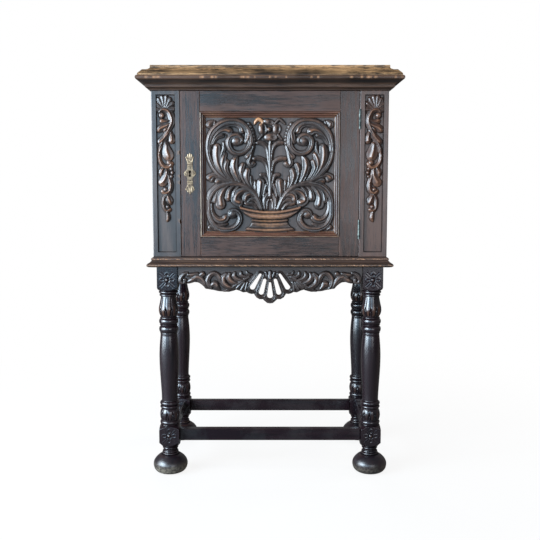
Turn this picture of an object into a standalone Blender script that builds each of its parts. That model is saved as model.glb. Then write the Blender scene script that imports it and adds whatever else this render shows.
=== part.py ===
"""Carved oak side cabinet on a turned-leg stand, with one hinged door.

Metres, +Z up, front towards -Y, origin on the floor under the middle of the piece.
"""

import math

import bmesh
import bpy
from mathutils import Vector

# Clearances
FIT_GAP = 0.0003
DOOR_GAP = 0.0015

# Carcase
BODY_WIDTH = 0.734
BODY_DEPTH = 0.418
OPENING_HEIGHT = 0.515
PILASTER_WIDTH = 0.088
FRONT_THICKNESS = 0.024
SIDE_THICKNESS = 0.020
BACK_THICKNESS = 0.010
BOTTOM_THICKNESS = 0.018
FRIEZE_HEIGHT = 0.0416
TOP_THICKNESS = 0.0345
NOSE_OVERHANG = 0.042
TOP_FILLET_OVERHANG = 0.002
TOP_LIP_SETBACK = 0.006
BEAD_OVERHANG = 0.007
TORUS_OVERHANG = 0.020
TORUS_HEIGHT = 0.014
BOARD_EDGE_BEVEL = 0.001

# Sunk panel and carving on the pilasters
SUNK_PANEL_WIDTH = 0.0595
SUNK_PANEL_TOP_MARGIN = 0.0125
SUNK_PANEL_BOTTOM_MARGIN = 0.0145
SUNK_PANEL_DEPTH = 0.007
PILASTER_RELIEF = 0.0085

# Shelf inside
SHELF_THICKNESS = 0.018
SHELF_HEIGHT_IN_OPENING = 0.245
SHELF_SETBACK = 0.060
CLEAT_SIZE = 0.020

# Stand
LEG_SIZE = 0.064
LEG_SETBACK = 0.008
FOOT_RADIUS = 0.0555
FOOT_SOLE_RADIUS = 0.034
FOOT_HEIGHT = 0.066
FOOT_RING_RADIUS = 0.0315
NECK_HEIGHT = 0.026
NECK_RADIUS = 0.024
TURNED_STEP = 0.003
LOWER_BLOCK_HEIGHT = 0.066
BLOCK_SHOULDER = 0.014
CUSHION_HEIGHT = 0.012
LOWER_BULB_HEIGHT = 0.043
LOWER_BULB_RADIUS = 0.0313
COLLAR_HEIGHT = 0.011
COLLAR_RADIUS = 0.0312
SHAFT_HEIGHT = 0.223
SHAFT_FOOT_RADIUS = 0.0255
SHAFT_SWELL_RADIUS = 0.0315
SHAFT_TOP_RADIUS = 0.0268
RING_HEIGHT = 0.026
RING_RADIUS = 0.0305
GROOVE_RADIUS = 0.0252
UPPER_BULB_HEIGHT = 0.073
UPPER_BULB_RADIUS = 0.0302
UPPER_BULB_NECK_RADIUS = 0.0225
CAPITAL_HEIGHT = 0.017
CAPITAL_RADIUS = 0.0295
UPPER_BLOCK_HEIGHT = 0.092
STRETCHER_HEIGHT = 0.039
STRETCHER_THICKNESS = 0.024
STRETCHER_BEVEL = 0.002
STRETCHER_ABOVE_BLOCK = 0.014
APRON_THICKNESS = 0.020
APRON_FACE_SETBACK = 0.0125
APRON_RELIEF = 0.007
PLAIN_APRON_HEIGHT = 0.070

# Door
STILE_WIDTH = 0.060
TOP_RAIL_HEIGHT = 0.063
BOTTOM_RAIL_HEIGHT = 0.061
PANEL_THICKNESS = 0.012
PANEL_GROUND_DEPTH = 0.0105
PANEL_RELIEF = 0.010
VASE_RELIEF = 0.0065
CARVING_SIDE_MARGIN = 0.002
CARVING_TOP_MARGIN = 0.005
CARVING_BOTTOM_MARGIN = 0.001
PANEL_MOULDING_WIDTH = 0.018
PANEL_MOULDING_PROUD = 0.0025
PANEL_MOULDING_BEAD = 0.005

# Hinges
HINGE_LENGTH = 0.058
HINGE_FROM_DOOR_END = 0.0855
HINGE_PROUD = 0.0025
KNUCKLE_RADIUS = 0.0034
HINGE_PIN_RADIUS = 0.0016
HINGE_PIN_TIP = 0.0018
LEAF_THICKNESS = 0.0012
LEAF_DEPTH = 0.018

# Lock and escutcheon
KEYHOLE_HEIGHT_IN_DOOR = 0.2587
KEYHOLE_FROM_EDGE = 0.0285
KEYHOLE_ROUND_RADIUS = 0.0038
KEYHOLE_SLOT_WIDTH = 0.005
KEYHOLE_SLOT_DROP = 0.0155
ESCUTCHEON_THICKNESS = 0.0018
ESCUTCHEON_PIN_ABOVE = 0.0178
ESCUTCHEON_PIN_BELOW = 0.0206
PIN_HEAD_RADIUS = 0.0016
PIN_SHANK_RADIUS = 0.0008
PIN_LENGTH = 0.009
LOCK_WIDTH = 0.054
LOCK_HEIGHT = 0.062
LOCK_DEPTH = 0.012
LOCK_INSET = 0.0012
BOLT_LENGTH = 0.036
BOLT_HEIGHT = 0.014
BOLT_THICKNESS = 0.006
BOLT_ABOVE_KEYHOLE = 0.020
BOLT_THROW = 0.009

# Facets
LEG_STEPS = 12
FOOT_STEPS = 16
SMALL_ROUND_STEPS = 12

# Levels above the floor
LEG_FOOT_Z = FOOT_HEIGHT + FIT_GAP
LOWER_BLOCK_Z = LEG_FOOT_Z + NECK_HEIGHT
CUSHION_Z = LOWER_BLOCK_Z + LOWER_BLOCK_HEIGHT
LOWER_BULB_Z = CUSHION_Z + CUSHION_HEIGHT
COLLAR_Z = LOWER_BULB_Z + LOWER_BULB_HEIGHT
SHAFT_Z = COLLAR_Z + 2 * COLLAR_HEIGHT
RING_Z = SHAFT_Z + SHAFT_HEIGHT
UPPER_BULB_Z = RING_Z + 2 * RING_HEIGHT
CAPITAL_Z = UPPER_BULB_Z + UPPER_BULB_HEIGHT
UPPER_BLOCK_Z = CAPITAL_Z + CAPITAL_HEIGHT
STAND_TOP_Z = UPPER_BLOCK_Z + UPPER_BLOCK_HEIGHT
BOTTOM_Z = STAND_TOP_Z + FIT_GAP
OPENING_Z = BOTTOM_Z + BOTTOM_THICKNESS
FRIEZE_Z = OPENING_Z + OPENING_HEIGHT
TOP_Z = FRIEZE_Z + FRIEZE_HEIGHT

# Plan
HALF_WIDTH = BODY_WIDTH / 2
LEG_INSET = LEG_SETBACK + LEG_SIZE / 2
REAR_REACH = BODY_DEPTH - LEG_INSET + FOOT_RADIUS
FRONT_Y = (NOSE_OVERHANG - REAR_REACH) / 2
BACK_Y = FRONT_Y + BODY_DEPTH
LEG_X = HALF_WIDTH - LEG_INSET
LEG_FRONT_Y = FRONT_Y + LEG_INSET
LEG_REAR_Y = BACK_Y - LEG_INSET
SPAN_X = LEG_X - LEG_SIZE / 2 - FIT_GAP
OPENING_X = HALF_WIDTH - PILASTER_WIDTH
INNER_X = HALF_WIDTH - SIDE_THICKNESS - FIT_GAP
FRAME_BACK_Y = FRONT_Y + FRONT_THICKNESS

# Door plan and levels
DOOR_X = OPENING_X - DOOR_GAP
DOOR_Z = OPENING_Z + DOOR_GAP
DOOR_TOP_Z = FRIEZE_Z - DOOR_GAP
FRAME_X = DOOR_X - STILE_WIDTH
FRAME_Z = DOOR_Z + BOTTOM_RAIL_HEIGHT
FRAME_TOP_Z = DOOR_TOP_Z - TOP_RAIL_HEIGHT
GROUND_Y = FRONT_Y + PANEL_GROUND_DEPTH
SIGHT_HALF_WIDTH = FRAME_X - PANEL_MOULDING_WIDTH
SIGHT_HALF_HEIGHT = (FRAME_TOP_Z - FRAME_Z) / 2 - PANEL_MOULDING_WIDTH
HINGE_X = OPENING_X - DOOR_GAP / 2
HINGE_Y = FRONT_Y - HINGE_PROUD
KEYHOLE_X = KEYHOLE_FROM_EDGE - DOOR_X
KEYHOLE_Z = DOOR_Z + KEYHOLE_HEIGHT_IN_DOOR
LOCK_Y = FRAME_BACK_Y + FIT_GAP

# The carving is drawn in millimetres, then fitted to its panel. A drop is drawn on a field of this size.
DRAWN_DROP_HALF_WIDTH = 29.75
DRAWN_DROP_HEIGHT = 488.0
DRAWING_UNIT = 0.001

# Each strand of carving runs from root to tip as (out from the middle, up, width).
PANEL_STRANDS = (
    # upper scroll, round the rim and into its eye
    (
        (115, -20, 8), (142, -7, 11), (165, 12, 13), (182, 36, 12), (191, 66, 11), (192, 97, 12),
        (185, 126, 14), (169, 148, 15), (145, 162, 15), (118, 166, 15), (93, 161, 15), (74, 146, 16),
        (63, 124, 16), (62, 99, 14), (74, 79, 12), (95, 70, 12), (114, 75, 13), (126, 89, 14),
        (128, 106, 14), (119, 120, 13), (104, 123, 12), (93, 114, 11), (95, 105, 10),
    ),
    # lobes inside the upper scroll
    (
        (187, 79, 6), (184, 106, 8), (172, 131, 9), (152, 149, 10), (127, 157, 10), (104, 156, 11),
        (90, 146, 13), (87, 139, 12),
    ),
    ((182, 97, 6), (170, 121, 9), (152, 136, 12), (138, 140, 16), (127, 137, 17)),
    ((75, 149, 10), (69, 131, 14), (70, 116, 13), (75, 106, 9)),
    # tail of the upper scroll
    ((55, 82, 8), (60, 62, 10), (65, 43, 11), (59, 34, 10), (52, 38, 11)),
    # upright leaf fingers
    ((125, -16, 6), (145, 4, 11), (161, 34, 16), (166, 64, 19), (164, 89, 14)),
    ((122, -16, 5), (140, 7, 9), (149, 32, 13), (146, 52, 14), (139, 66, 9)),
    ((112, -19, 5), (130, 2, 9), (140, 24, 13), (135, 44, 10)),
    ((92, -24, 6), (105, 2, 12), (112, 27, 17), (110, 46, 14), (102, 58, 7)),
    ((75, -29, 5), (87, -4, 9), (90, 19, 13), (84, 34, 10)),
    ((57, -39, 5), (69, -18, 10), (74, 2, 14), (70, 16, 11)),
    # midrib out of the vase
    ((25, -104, 9), (35, -76, 12), (52, -51, 12), (75, -34, 11), (100, -24, 10), (122, -18, 9)),
    # small leaf at the side
    ((130, -18, 6), (157, -4, 10), (177, 2, 12), (188, -4, 14)),
    # lower scroll, round the rim and into its eye
    (
        (65, -43, 8), (85, -30, 11), (110, -25, 12), (135, -26, 12), (160, -34, 13), (179, -51, 13),
        (189, -73, 12), (191, -98, 12), (188, -126, 13), (177, -150, 14), (157, -162, 14),
        (132, -164, 13), (110, -157, 13), (97, -143, 13), (95, -125, 12), (105, -112, 12),
        (118, -112, 12), (123, -121, 11),
    ),
    ((182, -76, 6), (183, -101, 9), (177, -124, 12), (162, -137, 14), (148, -137, 15), (139, -132, 14)),
    # lobes that hang from the lower scroll
    ((127, -27, 7), (146, -43, 13), (156, -66, 18), (154, -88, 20)),
    ((112, -30, 5), (127, -46, 11), (131, -68, 14)),
    ((65, -48, 8), (87, -46, 14), (105, -58, 18), (109, -76, 18), (98, -84, 18)),
    ((42, -66, 8), (60, -56, 13), (74, -61, 14), (77, -72, 12)),
    # lobe and tendrils beside the stem
    ((34, -66, 10), (31, -41, 16), (29, -14, 14)),
    ((5, -30, 6), (9, -11, 6), (16, 2, 6), (27, 3, 5)),
    ((5, 0, 6), (9, 34, 7), (21, 51, 8), (46, 54, 7)),
    ((5, 46, 6), (8, 84, 7), (17, 99, 8), (34, 103, 6)),
    # bud over the bowl
    ((16, -104, 8), (17, -76, 10), (8, -57, 9)),
    # leaves behind the flower
    ((8, 152, 8), (28, 166, 10), (44, 163, 6)),
    ((8, 140, 8), (26, 130, 10), (37, 116, 6)),
    # petals
    ((4, 147, 10), (12, 157, 18), (15, 161, 12)),
    ((4, 145, 10), (15, 143, 18), (20, 142, 12)),
    ((4, 142, 10), (9, 131, 18), (11, 127, 12)),
)
# Rim, girdle and foot ring of the vase, from the middle outwards.
VASE_STRANDS = (
    ((-2, -113, 9), (40, -111, 9), (70, -106, 8), (88, -98, 5)),
    ((-2, -137, 10), (50, -137, 10)),
    ((-2, -167, 9), (72, -168, 8)),
)
PANEL_STEM = ((0, -60, 13), (0, -20, 11), (0, 40, 10), (0, 90, 9), (0, 125, 9))
PANEL_FLOWER_HEART = ((0, 133, 12), (0, 144, 17), (0, 155, 12))

# Vase under the scrolls, as an outline of (out from the middle, up).
VASE_OUTLINE = (
    (0, -108), (55, -105), (80, -99), (95, -93), (88, -106), (72, -119), (54, -128), (55, -133), (52, -141),
    (57, -146), (60, -154), (67, -163), (78, -171), (0, -171),
)

# Drop on the left pilaster: (right of the middle, below the top of the sunk panel, width).
DROP_STRANDS = (
    # main S from the volute down to its curl
    (
        (-8, 54, 21), (-2, 44, 12), (8, 43, 11), (18, 51, 12), (22, 64, 12), (20, 80, 12), (14, 94, 11),
        (7, 109, 10), (1, 126, 9), (-4, 144, 9), (-11, 163, 9), (-15, 182, 10), (-13, 201, 11),
        (-3, 212, 12), (8, 212, 15), (13, 205, 16),
    ),
    ((19, 84, 8), (2, 91, 13), (-12, 95, 15), (-19, 102, 9)),
    ((12, 112, 8), (-1, 129, 12), (-12, 134, 16)),
    ((17, 98, 7), (19, 120, 12), (21, 134, 14)),
    ((3, 132, 9), (2, 158, 19), (8, 180, 19)),
    ((-3, 146, 7), (-12, 152, 10), (-20, 161, 10)),
    # second S
    (
        (-3, 211, 9), (4, 226, 9), (10, 242, 9), (14, 262, 9), (14, 279, 10), (8, 293, 11), (-3, 297, 11),
        (-9, 289, 12),
    ),
    ((2, 222, 8), (2, 240, 12), (-3, 256, 16), (-11, 264, 17)),
    ((8, 232, 8), (16, 234, 12)),
    # tail
    ((-1, 296, 9), (1, 314, 14), (7, 326, 18), (9, 337, 12)),
    ((0, 312, 8), (-8, 326, 9), (-9, 342, 10), (0, 352, 10), (6, 346, 10)),
    ((-5, 348, 8), (2, 366, 10), (0, 386, 6)),
)
SHELL_HEART = (-1.0, 41.0)
SHELL_FLUTES = 7
SHELL_SPREAD = math.radians(150)
SHELL_REACH = 33.0
SHELL_FLUTE_WIDTH = 11.0

# Lower edge of the carved apron: (out from the middle, below the stand top).
APRON_EDGE = (
    (0, 132), (9, 130.5), (17, 124), (23, 118), (33, 118.5), (43, 113), (48, 106), (51, 100.5), (60, 101.5),
    (68, 99), (75, 95), (85, 96.5), (97, 91), (107, 87.6), (116, 91), (130, 94.5), (147, 94), (166, 92),
    (186, 87), (205, 84), (213, 74), (225, 65), (240, 63), (256, 68), (294.7, 69),
)
# Pierced loops of the shell: top of the loop, its radius there, bottom of the loop, its radius there.
APRON_LOOPS = (
    ((0, 67), 3.5, (0, 107.5), 9.5),
    ((17, 58), 5.5, (28, 98), 8.0),
    ((31, 40), 4.0, (56, 81), 8.5),
)
LOOP_ARC_STEPS = 5
APRON_STRANDS = (
    # scroll against the leg block and its leaf
    ((262, 44, 9), (266, 32, 9), (276, 31, 10), (284, 42, 11), (280, 55, 10), (270, 57, 9), (268, 48, 9)),
    ((262, 55, 6), (245, 50, 14), (228, 42, 14), (212, 52, 12), (203, 72, 7)),
    # C scroll
    ((205, 76, 7), (198, 58, 11), (192, 38, 13), (178, 29, 13), (165, 36, 13), (160, 50, 12), (168, 57, 10)),
    ((190, 78, 7), (180, 72, 14), (172, 64, 14)),
    # blades towards the shell
    ((152, 38, 16), (140, 58, 17), (122, 70, 12), (104, 76, 6)),
    ((132, 30, 12), (112, 40, 12), (88, 54, 8)),
    ((112, 28, 10), (90, 34, 9), (66, 42, 6)),
    ((140, 84, 6), (115, 72, 8), (92, 57, 9), (68, 42, 7)),
)

# Escutcheon outline, right half: (out, up) from the keyhole's middle.
ESCUTCHEON_HALF = (
    (0, 64), (3, 60), (6.5, 60), (8, 54), (11, 52.5), (13.5, 49), (10, 42), (8.2, 32), (8.8, 27), (8.5, 19),
    (10.5, 12), (15, 8), (19.5, 0.5), (16, -6), (11, -10.5), (8.8, -19), (8.8, -28), (8.5, -32), (11, -41),
    (15, -48), (11, -52), (8.5, -57), (5, -57.5), (2.8, -63), (0, -66),
)

# Moulding profiles from below upwards, as shares of (overhang, height), fitted to their pieces below.
TOP_BOARD_SHARES = (
    (1.0, 0.0), (0.985, 0.16), (0.82, 0.30), (0.60, 0.535), (0.455, 0.55), (0.235, 0.595), (0.10, 0.665),
    (0.03, 0.725), (0.0, 0.76), (0.0, 1.0),
)
CORNICE_SHARES = (
    (0.095, 0.0), (0.13, 0.073), (0.26, 0.157), (0.355, 0.182), (0.38, 0.242), (0.355, 0.303), (0.39, 0.40),
    (0.50, 0.495), (0.655, 0.595), (0.835, 0.665), (0.94, 0.70), (1.0, 0.835), (0.95, 0.97), (0.88, 1.0),
)
BOTTOM_BOARD_SHARES = (
    (1.70, 0.0), (1.20, 0.20), (0.70, 0.425), (0.94, 0.51), (1.0, 0.65), (0.91, 0.79), (0.64, 0.875),
    (0.0, 0.93), (0.0, 1.0),
)
TORUS_SHARES = (
    (0.45, 0.0), (0.75, 0.107), (0.95, 0.32), (1.0, 0.535), (0.925, 0.75), (0.75, 0.93), (0.65, 1.0),
)
# Door panel moulding across its width, as shares of (width, depth of the panel's ground).
PANEL_MOULDING_SHARES = (
    (0.39, 0.0), (0.47, -0.05), (0.61, 0.10), (0.695, 0.38), (0.805, 0.43), (0.945, 0.72),
)

for leftover in list(bpy.data.objects):
    bpy.data.objects.remove(leftover)

parts = bpy.data.collections.new("side_cabinet")
cutters = bpy.data.collections.new("side_cabinet_cutters")
bpy.context.scene.collection.children.link(parts)
bpy.context.scene.collection.children.link(cutters)


def make_material(name, colour, roughness, metallic=0.0):
    material = bpy.data.materials.new(name)
    material.use_nodes = True
    shader = material.node_tree.nodes["Principled BSDF"]
    shader.inputs["Base Color"].default_value = (*colour, 1.0)
    shader.inputs["Roughness"].default_value = roughness
    shader.inputs["Metallic"].default_value = metallic
    return material


dark_oak = make_material("dark_oak", (0.045, 0.030, 0.024), 0.35)
worn_oak = make_material("worn_oak", (0.16, 0.085, 0.040), 0.5)
inner_oak = make_material("inner_oak", (0.20, 0.12, 0.065), 0.7)
brass = make_material("brass", (0.72, 0.52, 0.26), 0.35, 1.0)
bronze = make_material("bronze", (0.20, 0.23, 0.20), 0.45, 1.0)
steel = make_material("steel", (0.30, 0.29, 0.28), 0.5, 1.0)


def place_under(item, location, parent):
    """Puts an object at a place in the world, whether or not it hangs on a joint's empty."""
    item.location = Vector(location)
    item.parent = parent
    while parent:
        item.location -= parent.location
        parent = parent.parent
    parts.objects.link(item)


def add_joint_empty(name, location, parent=None):
    empty = bpy.data.objects.new(name, None)
    place_under(empty, location, parent)
    return empty


def add_part(name, mesh, material, location=(0, 0, 0), parent=None):
    part = bpy.data.objects.new(name, mesh)
    place_under(part, location, parent)
    mesh.materials.clear()
    mesh.materials.append(material)
    return part


def add_cutter(name, mesh, location=(0, 0, 0), collection=None):
    cutter = bpy.data.objects.new(name, mesh)
    cutter.location = location
    cutter.hide_render = True
    cutter.display_type = "WIRE"
    (collection or cutters).objects.link(cutter)
    return cutter


def add_boolean(part, other, operation):
    """other is one object, or a collection of them."""
    modifier = part.modifiers.new(operation.lower(), "BOOLEAN")
    modifier.operation = operation
    modifier.solver = "EXACT"
    if isinstance(other, bpy.types.Collection):
        modifier.operand_type = "COLLECTION"
        modifier.collection = other
    else:
        modifier.object = other


# Cuts and joins wait here until every shape is made, so that none is worked out twice.
waiting_booleans = []


def cut(part, other):
    waiting_booleans.append((part, other, "DIFFERENCE"))


def join(part, other):
    waiting_booleans.append((part, other, "UNION"))


def face_outwards(bm):
    bmesh.ops.recalc_face_normals(bm, faces=bm.faces)
    if bm.calc_volume(signed=True) < 0:
        bmesh.ops.reverse_faces(bm, faces=bm.faces)


def finish_mesh(bm, name):
    face_outwards(bm)
    mesh = bpy.data.meshes.new(name)
    bm.to_mesh(mesh)
    bm.free()
    return mesh


def box_mesh(name, size):
    bm = bmesh.new()
    bmesh.ops.create_cube(bm, size=1.0)
    bmesh.ops.scale(bm, vec=size, verts=bm.verts)
    return finish_mesh(bm, name)


def middle_and_size(low, high):
    low, high = Vector(low), Vector(high)
    return (low + high) / 2, high - low


def add_board(name, low, high, material, parent=None, bevel=BOARD_EDGE_BEVEL):
    """A straight piece of wood between two opposite corners, with its arrises eased."""
    middle, size = middle_and_size(low, high)
    board = add_part(name, box_mesh(name, size), material, middle, parent)
    if bevel:
        eased = board.modifiers.new("eased_arrises", "BEVEL")
        eased.width = bevel
        eased.segments = 1
    return board


def box_cutter(name, low, high):
    middle, size = middle_and_size(low, high)
    return add_cutter(name, box_mesh(name, size), middle)


def rod_mesh(name, radius, length, steps=SMALL_ROUND_STEPS):
    """A cylinder along Z, centred."""
    bm = bmesh.new()
    bmesh.ops.create_cone(
        bm, cap_ends=True, segments=steps, radius1=radius, radius2=radius, depth=length
    )
    return finish_mesh(bm, name)


def turned_mesh(name, profile, steps):
    """Spins a (radius, height) profile, given from the top down, round Z."""
    mesh = bpy.data.meshes.new(name)
    points = [(radius, 0.0, height) for radius, height in profile]
    mesh.from_pydata(points, [(i, i + 1) for i in range(len(points) - 1)], [])
    blank = add_cutter(name, mesh)
    screw = blank.modifiers.new("turning", "SCREW")
    screw.steps = screw.render_steps = steps
    screw.use_merge_vertices = True
    screw.merge_threshold = 0.00001
    return evaluated_mesh(blank, name)


def evaluated_mesh(source, name):
    """The mesh that an object's modifiers or curve make, with loose caps welded; the source goes."""
    bpy.context.view_layer.update()
    graph = bpy.context.evaluated_depsgraph_get()
    mesh = bpy.data.meshes.new_from_object(source.evaluated_get(graph))
    mesh.name = name
    bm = bmesh.new()
    bm.from_mesh(mesh)
    bmesh.ops.remove_doubles(bm, verts=bm.verts, dist=0.000001)
    face_outwards(bm)
    bm.to_mesh(mesh)
    bm.free()
    bpy.data.objects.remove(source)
    return mesh


def outline_mesh(name, outlines, thickness):
    """A flat plate in XZ, centred on its thickness; later outlines are holes in the first."""
    curve = bpy.data.curves.new(name, "CURVE")
    curve.dimensions = "2D"
    curve.fill_mode = "BOTH"
    curve.extrude = thickness / 2
    for outline in outlines:
        spline = curve.splines.new("POLY")
        spline.use_cyclic_u = True
        spline.points.add(len(outline) - 1)
        for point, (x, z) in zip(spline.points, outline):
            point.co = (x, z, 0.0, 1.0)
    mesh = evaluated_mesh(add_cutter(name, curve), name)
    for vertex in mesh.vertices:
        x, z, y = vertex.co
        vertex.co = (x, -y, z)
    return mesh


def strand_mesh(name, points):
    """A carved strand: a tapered four-sided tube through (position, radius) points."""
    curve = bpy.data.curves.new(name, "CURVE")
    curve.dimensions = "3D"
    curve.bevel_depth = 1.0
    curve.bevel_resolution = 0
    curve.use_fill_caps = True
    spline = curve.splines.new("POLY")
    spline.points.add(len(points) - 1)
    for point, (position, radius) in zip(spline.points, points):
        point.co = (*position, 1.0)
        point.radius = radius
    return evaluated_mesh(add_cutter(name, curve), name)


def add_strand(collection, strand, place, ground_y, relief, scale):
    """Half buries a strand in its ground, or more than half where that would stand out past the relief."""
    points = []
    for across, up, width in strand:
        radius = width * scale / 2
        x, z = place(across, up)
        sunk = max(0.0, radius - relief)
        points.append((Vector((x, ground_y + sunk, z)), radius))
    name = f"{collection.name}_{len(collection.objects):02d}"
    add_cutter(name, strand_mesh(name, points), collection=collection)


def new_carving(name):
    carving = bpy.data.collections.new(name)
    cutters.children.link(carving)
    return carving


def mirrored(outline):
    """A closed outline from its right half, which starts and ends on the middle line or at a shared edge."""
    return list(outline) + [(-x, z) for x, z in reversed(outline) if abs(x) > 1e-9]


def strip_mesh(name, starts, ends):
    """A moulding from the corners of its section at one end to those at the other."""
    bm = bmesh.new()
    face = bm.faces.new([bm.verts.new(point) for point in starts])
    grown = bmesh.ops.extrude_face_region(bm, geom=[face])["geom"]
    far = [item for item in grown if isinstance(item, bmesh.types.BMVert)]
    for vertex in far:
        nearest = min(range(len(starts)), key=lambda i: (vertex.co - starts[i]).length)
        vertex.co = ends[nearest]
    return finish_mesh(bm, name)


def add_front_moulding(name, profile, base_z, material):
    """Runs along the front and is mitred at both corners."""
    starts = []
    ends = []
    for overhang, height in profile:
        x = HALF_WIDTH + overhang - FIT_GAP
        starts.append(Vector((-x, FRONT_Y - overhang, base_z + height)))
        ends.append(Vector((x, FRONT_Y - overhang, base_z + height)))
    add_part(name, strip_mesh(name, starts, ends), material)


def add_side_moulding(name, side, profile, base_z, material):
    """Runs back from the mitred front corner; side is -1 for left and 1 for right."""
    starts = []
    ends = []
    for overhang, height in profile:
        x = side * (HALF_WIDTH + overhang)
        starts.append(Vector((x, FRONT_Y - overhang + FIT_GAP, base_z + height)))
        ends.append(Vector((x, BACK_Y, base_z + height)))
    add_part(name, strip_mesh(name, starts, ends), material)


def add_moulded_board(name, profile, base_z, material):
    """A board whose front and side edges follow a profile and whose back edge is square."""
    bm = bmesh.new()
    corners = ((-1, -1), (1, -1), (1, 1), (-1, 1))

    def place(vertex, corner, overhang, height):
        x = corner[0] * (HALF_WIDTH + overhang)
        y = FRONT_Y - overhang if corner[1] < 0 else BACK_Y
        vertex.co = (x, y, base_z + height)

    face = bm.faces.new([bm.verts.new() for _ in corners])
    for vertex, corner in zip(face.verts, corners):
        place(vertex, corner, *profile[0])
    for level, (overhang, height) in enumerate(profile[1:]):
        grown = bmesh.ops.extrude_face_region(bm, geom=[face])["geom"]
        if level:
            bmesh.ops.delete(bm, geom=[face], context="FACES_ONLY")
        face = next(item for item in grown if isinstance(item, bmesh.types.BMFace))
        for vertex in face.verts:
            corner = (math.copysign(1, vertex.co.x), math.copysign(1, vertex.co.y - FRONT_Y - BODY_DEPTH / 2))
            place(vertex, corner, overhang, height)
    add_part(name, finish_mesh(bm, name), material)


def half_round(base_z, height, root, crest, steps=3):
    """A turned bead as (radius, height) points, from below upwards."""
    points = []
    for i in range(steps + 1):
        turn = math.pi * i / steps
        radius = root + (crest - root) * math.sin(turn)
        points.append((radius, base_z + height * (1 - math.cos(turn)) / 2))
    return points


def leg_profile():
    """Lathe profile from below upwards; the blocks are left wider than the square stock."""
    past_corner = LEG_SIZE * math.sqrt(0.5) + TURNED_STEP
    shoulder = (LEG_SIZE / 2 + past_corner) / 2
    profile = [(0.0, LEG_FOOT_Z), (NECK_RADIUS + TURNED_STEP, LEG_FOOT_Z)]
    profile += [(NECK_RADIUS, LEG_FOOT_Z + NECK_HEIGHT * 0.3)]
    profile += [(NECK_RADIUS + TURNED_STEP / 2, LEG_FOOT_Z + NECK_HEIGHT * 0.6)]
    profile += [(LEG_SIZE * 0.475, LOWER_BLOCK_Z), (shoulder, LOWER_BLOCK_Z + BLOCK_SHOULDER * 0.4)]
    profile += [(past_corner, LOWER_BLOCK_Z + BLOCK_SHOULDER), (past_corner, CUSHION_Z - BLOCK_SHOULDER)]
    profile += [(shoulder, CUSHION_Z - BLOCK_SHOULDER * 0.4)]
    profile += half_round(CUSHION_Z, CUSHION_HEIGHT, GROOVE_RADIUS, RING_RADIUS)
    for radius, share in ((0.93, 0.12), (0.99, 0.4), (1.0, 0.58), (0.92, 0.85)):
        profile.append((LOWER_BULB_RADIUS * radius, LOWER_BULB_Z + LOWER_BULB_HEIGHT * share))
    for count in range(2):
        collar_z = COLLAR_Z + count * COLLAR_HEIGHT
        profile += half_round(collar_z, COLLAR_HEIGHT, GROOVE_RADIUS, COLLAR_RADIUS)[count:]
    profile += [(SHAFT_FOOT_RADIUS, SHAFT_Z + SHAFT_HEIGHT * 0.02)]
    profile += [((SHAFT_FOOT_RADIUS + SHAFT_SWELL_RADIUS) / 2, SHAFT_Z + SHAFT_HEIGHT * 0.32)]
    profile += [(SHAFT_SWELL_RADIUS, SHAFT_Z + SHAFT_HEIGHT * 0.66)]
    profile += [((SHAFT_SWELL_RADIUS + SHAFT_TOP_RADIUS) / 2, SHAFT_Z + SHAFT_HEIGHT * 0.88)]
    profile += [(SHAFT_TOP_RADIUS, SHAFT_Z + SHAFT_HEIGHT * 0.98)]
    for count in range(2):
        profile += half_round(RING_Z + count * RING_HEIGHT, RING_HEIGHT, GROOVE_RADIUS, RING_RADIUS)[count:]
    profile += [(UPPER_BULB_RADIUS * 0.94, UPPER_BULB_Z + UPPER_BULB_HEIGHT * 0.13)]
    profile += [(UPPER_BULB_RADIUS, UPPER_BULB_Z + UPPER_BULB_HEIGHT * 0.30)]
    bulb_taper = (UPPER_BULB_RADIUS + UPPER_BULB_NECK_RADIUS) / 2
    profile += [(bulb_taper, UPPER_BULB_Z + UPPER_BULB_HEIGHT * 0.62)]
    profile += [(UPPER_BULB_NECK_RADIUS, UPPER_BULB_Z + UPPER_BULB_HEIGHT * 0.93)]
    profile += half_round(CAPITAL_Z, CAPITAL_HEIGHT, GROOVE_RADIUS, CAPITAL_RADIUS)
    profile += [(shoulder, UPPER_BLOCK_Z + BLOCK_SHOULDER * 0.4)]
    profile += [(past_corner, UPPER_BLOCK_Z + BLOCK_SHOULDER)]
    profile += [(past_corner, STAND_TOP_Z), (0.0, STAND_TOP_Z)]
    return profile


def foot_profile():
    """Bun foot with a ring on top, from below upwards."""
    bun_half = FOOT_HEIGHT * 0.41
    bulge = FOOT_RADIUS - FOOT_SOLE_RADIUS
    profile = [(0.0, 0.0)]
    for degrees in (-90, -60, -30, 0, 25, 45, 62):
        turn = math.radians(degrees)
        profile.append((FOOT_SOLE_RADIUS + bulge * math.cos(turn), bun_half * (1 + math.sin(turn))))
    profile += [(FOOT_RING_RADIUS + TURNED_STEP, FOOT_HEIGHT * 0.84)]
    profile += [(FOOT_RING_RADIUS, FOOT_HEIGHT * 0.87), (FOOT_RING_RADIUS, FOOT_HEIGHT * 0.94)]
    profile += [(FOOT_RING_RADIUS - TURNED_STEP, FOOT_HEIGHT), (0.0, FOOT_HEIGHT)]
    return profile


def corner_places():
    for row, y in (("front", LEG_FRONT_Y), ("rear", LEG_REAR_Y)):
        for hand, x in (("left", -LEG_X), ("right", LEG_X)):
            yield f"{row}_{hand}", x, y


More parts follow.
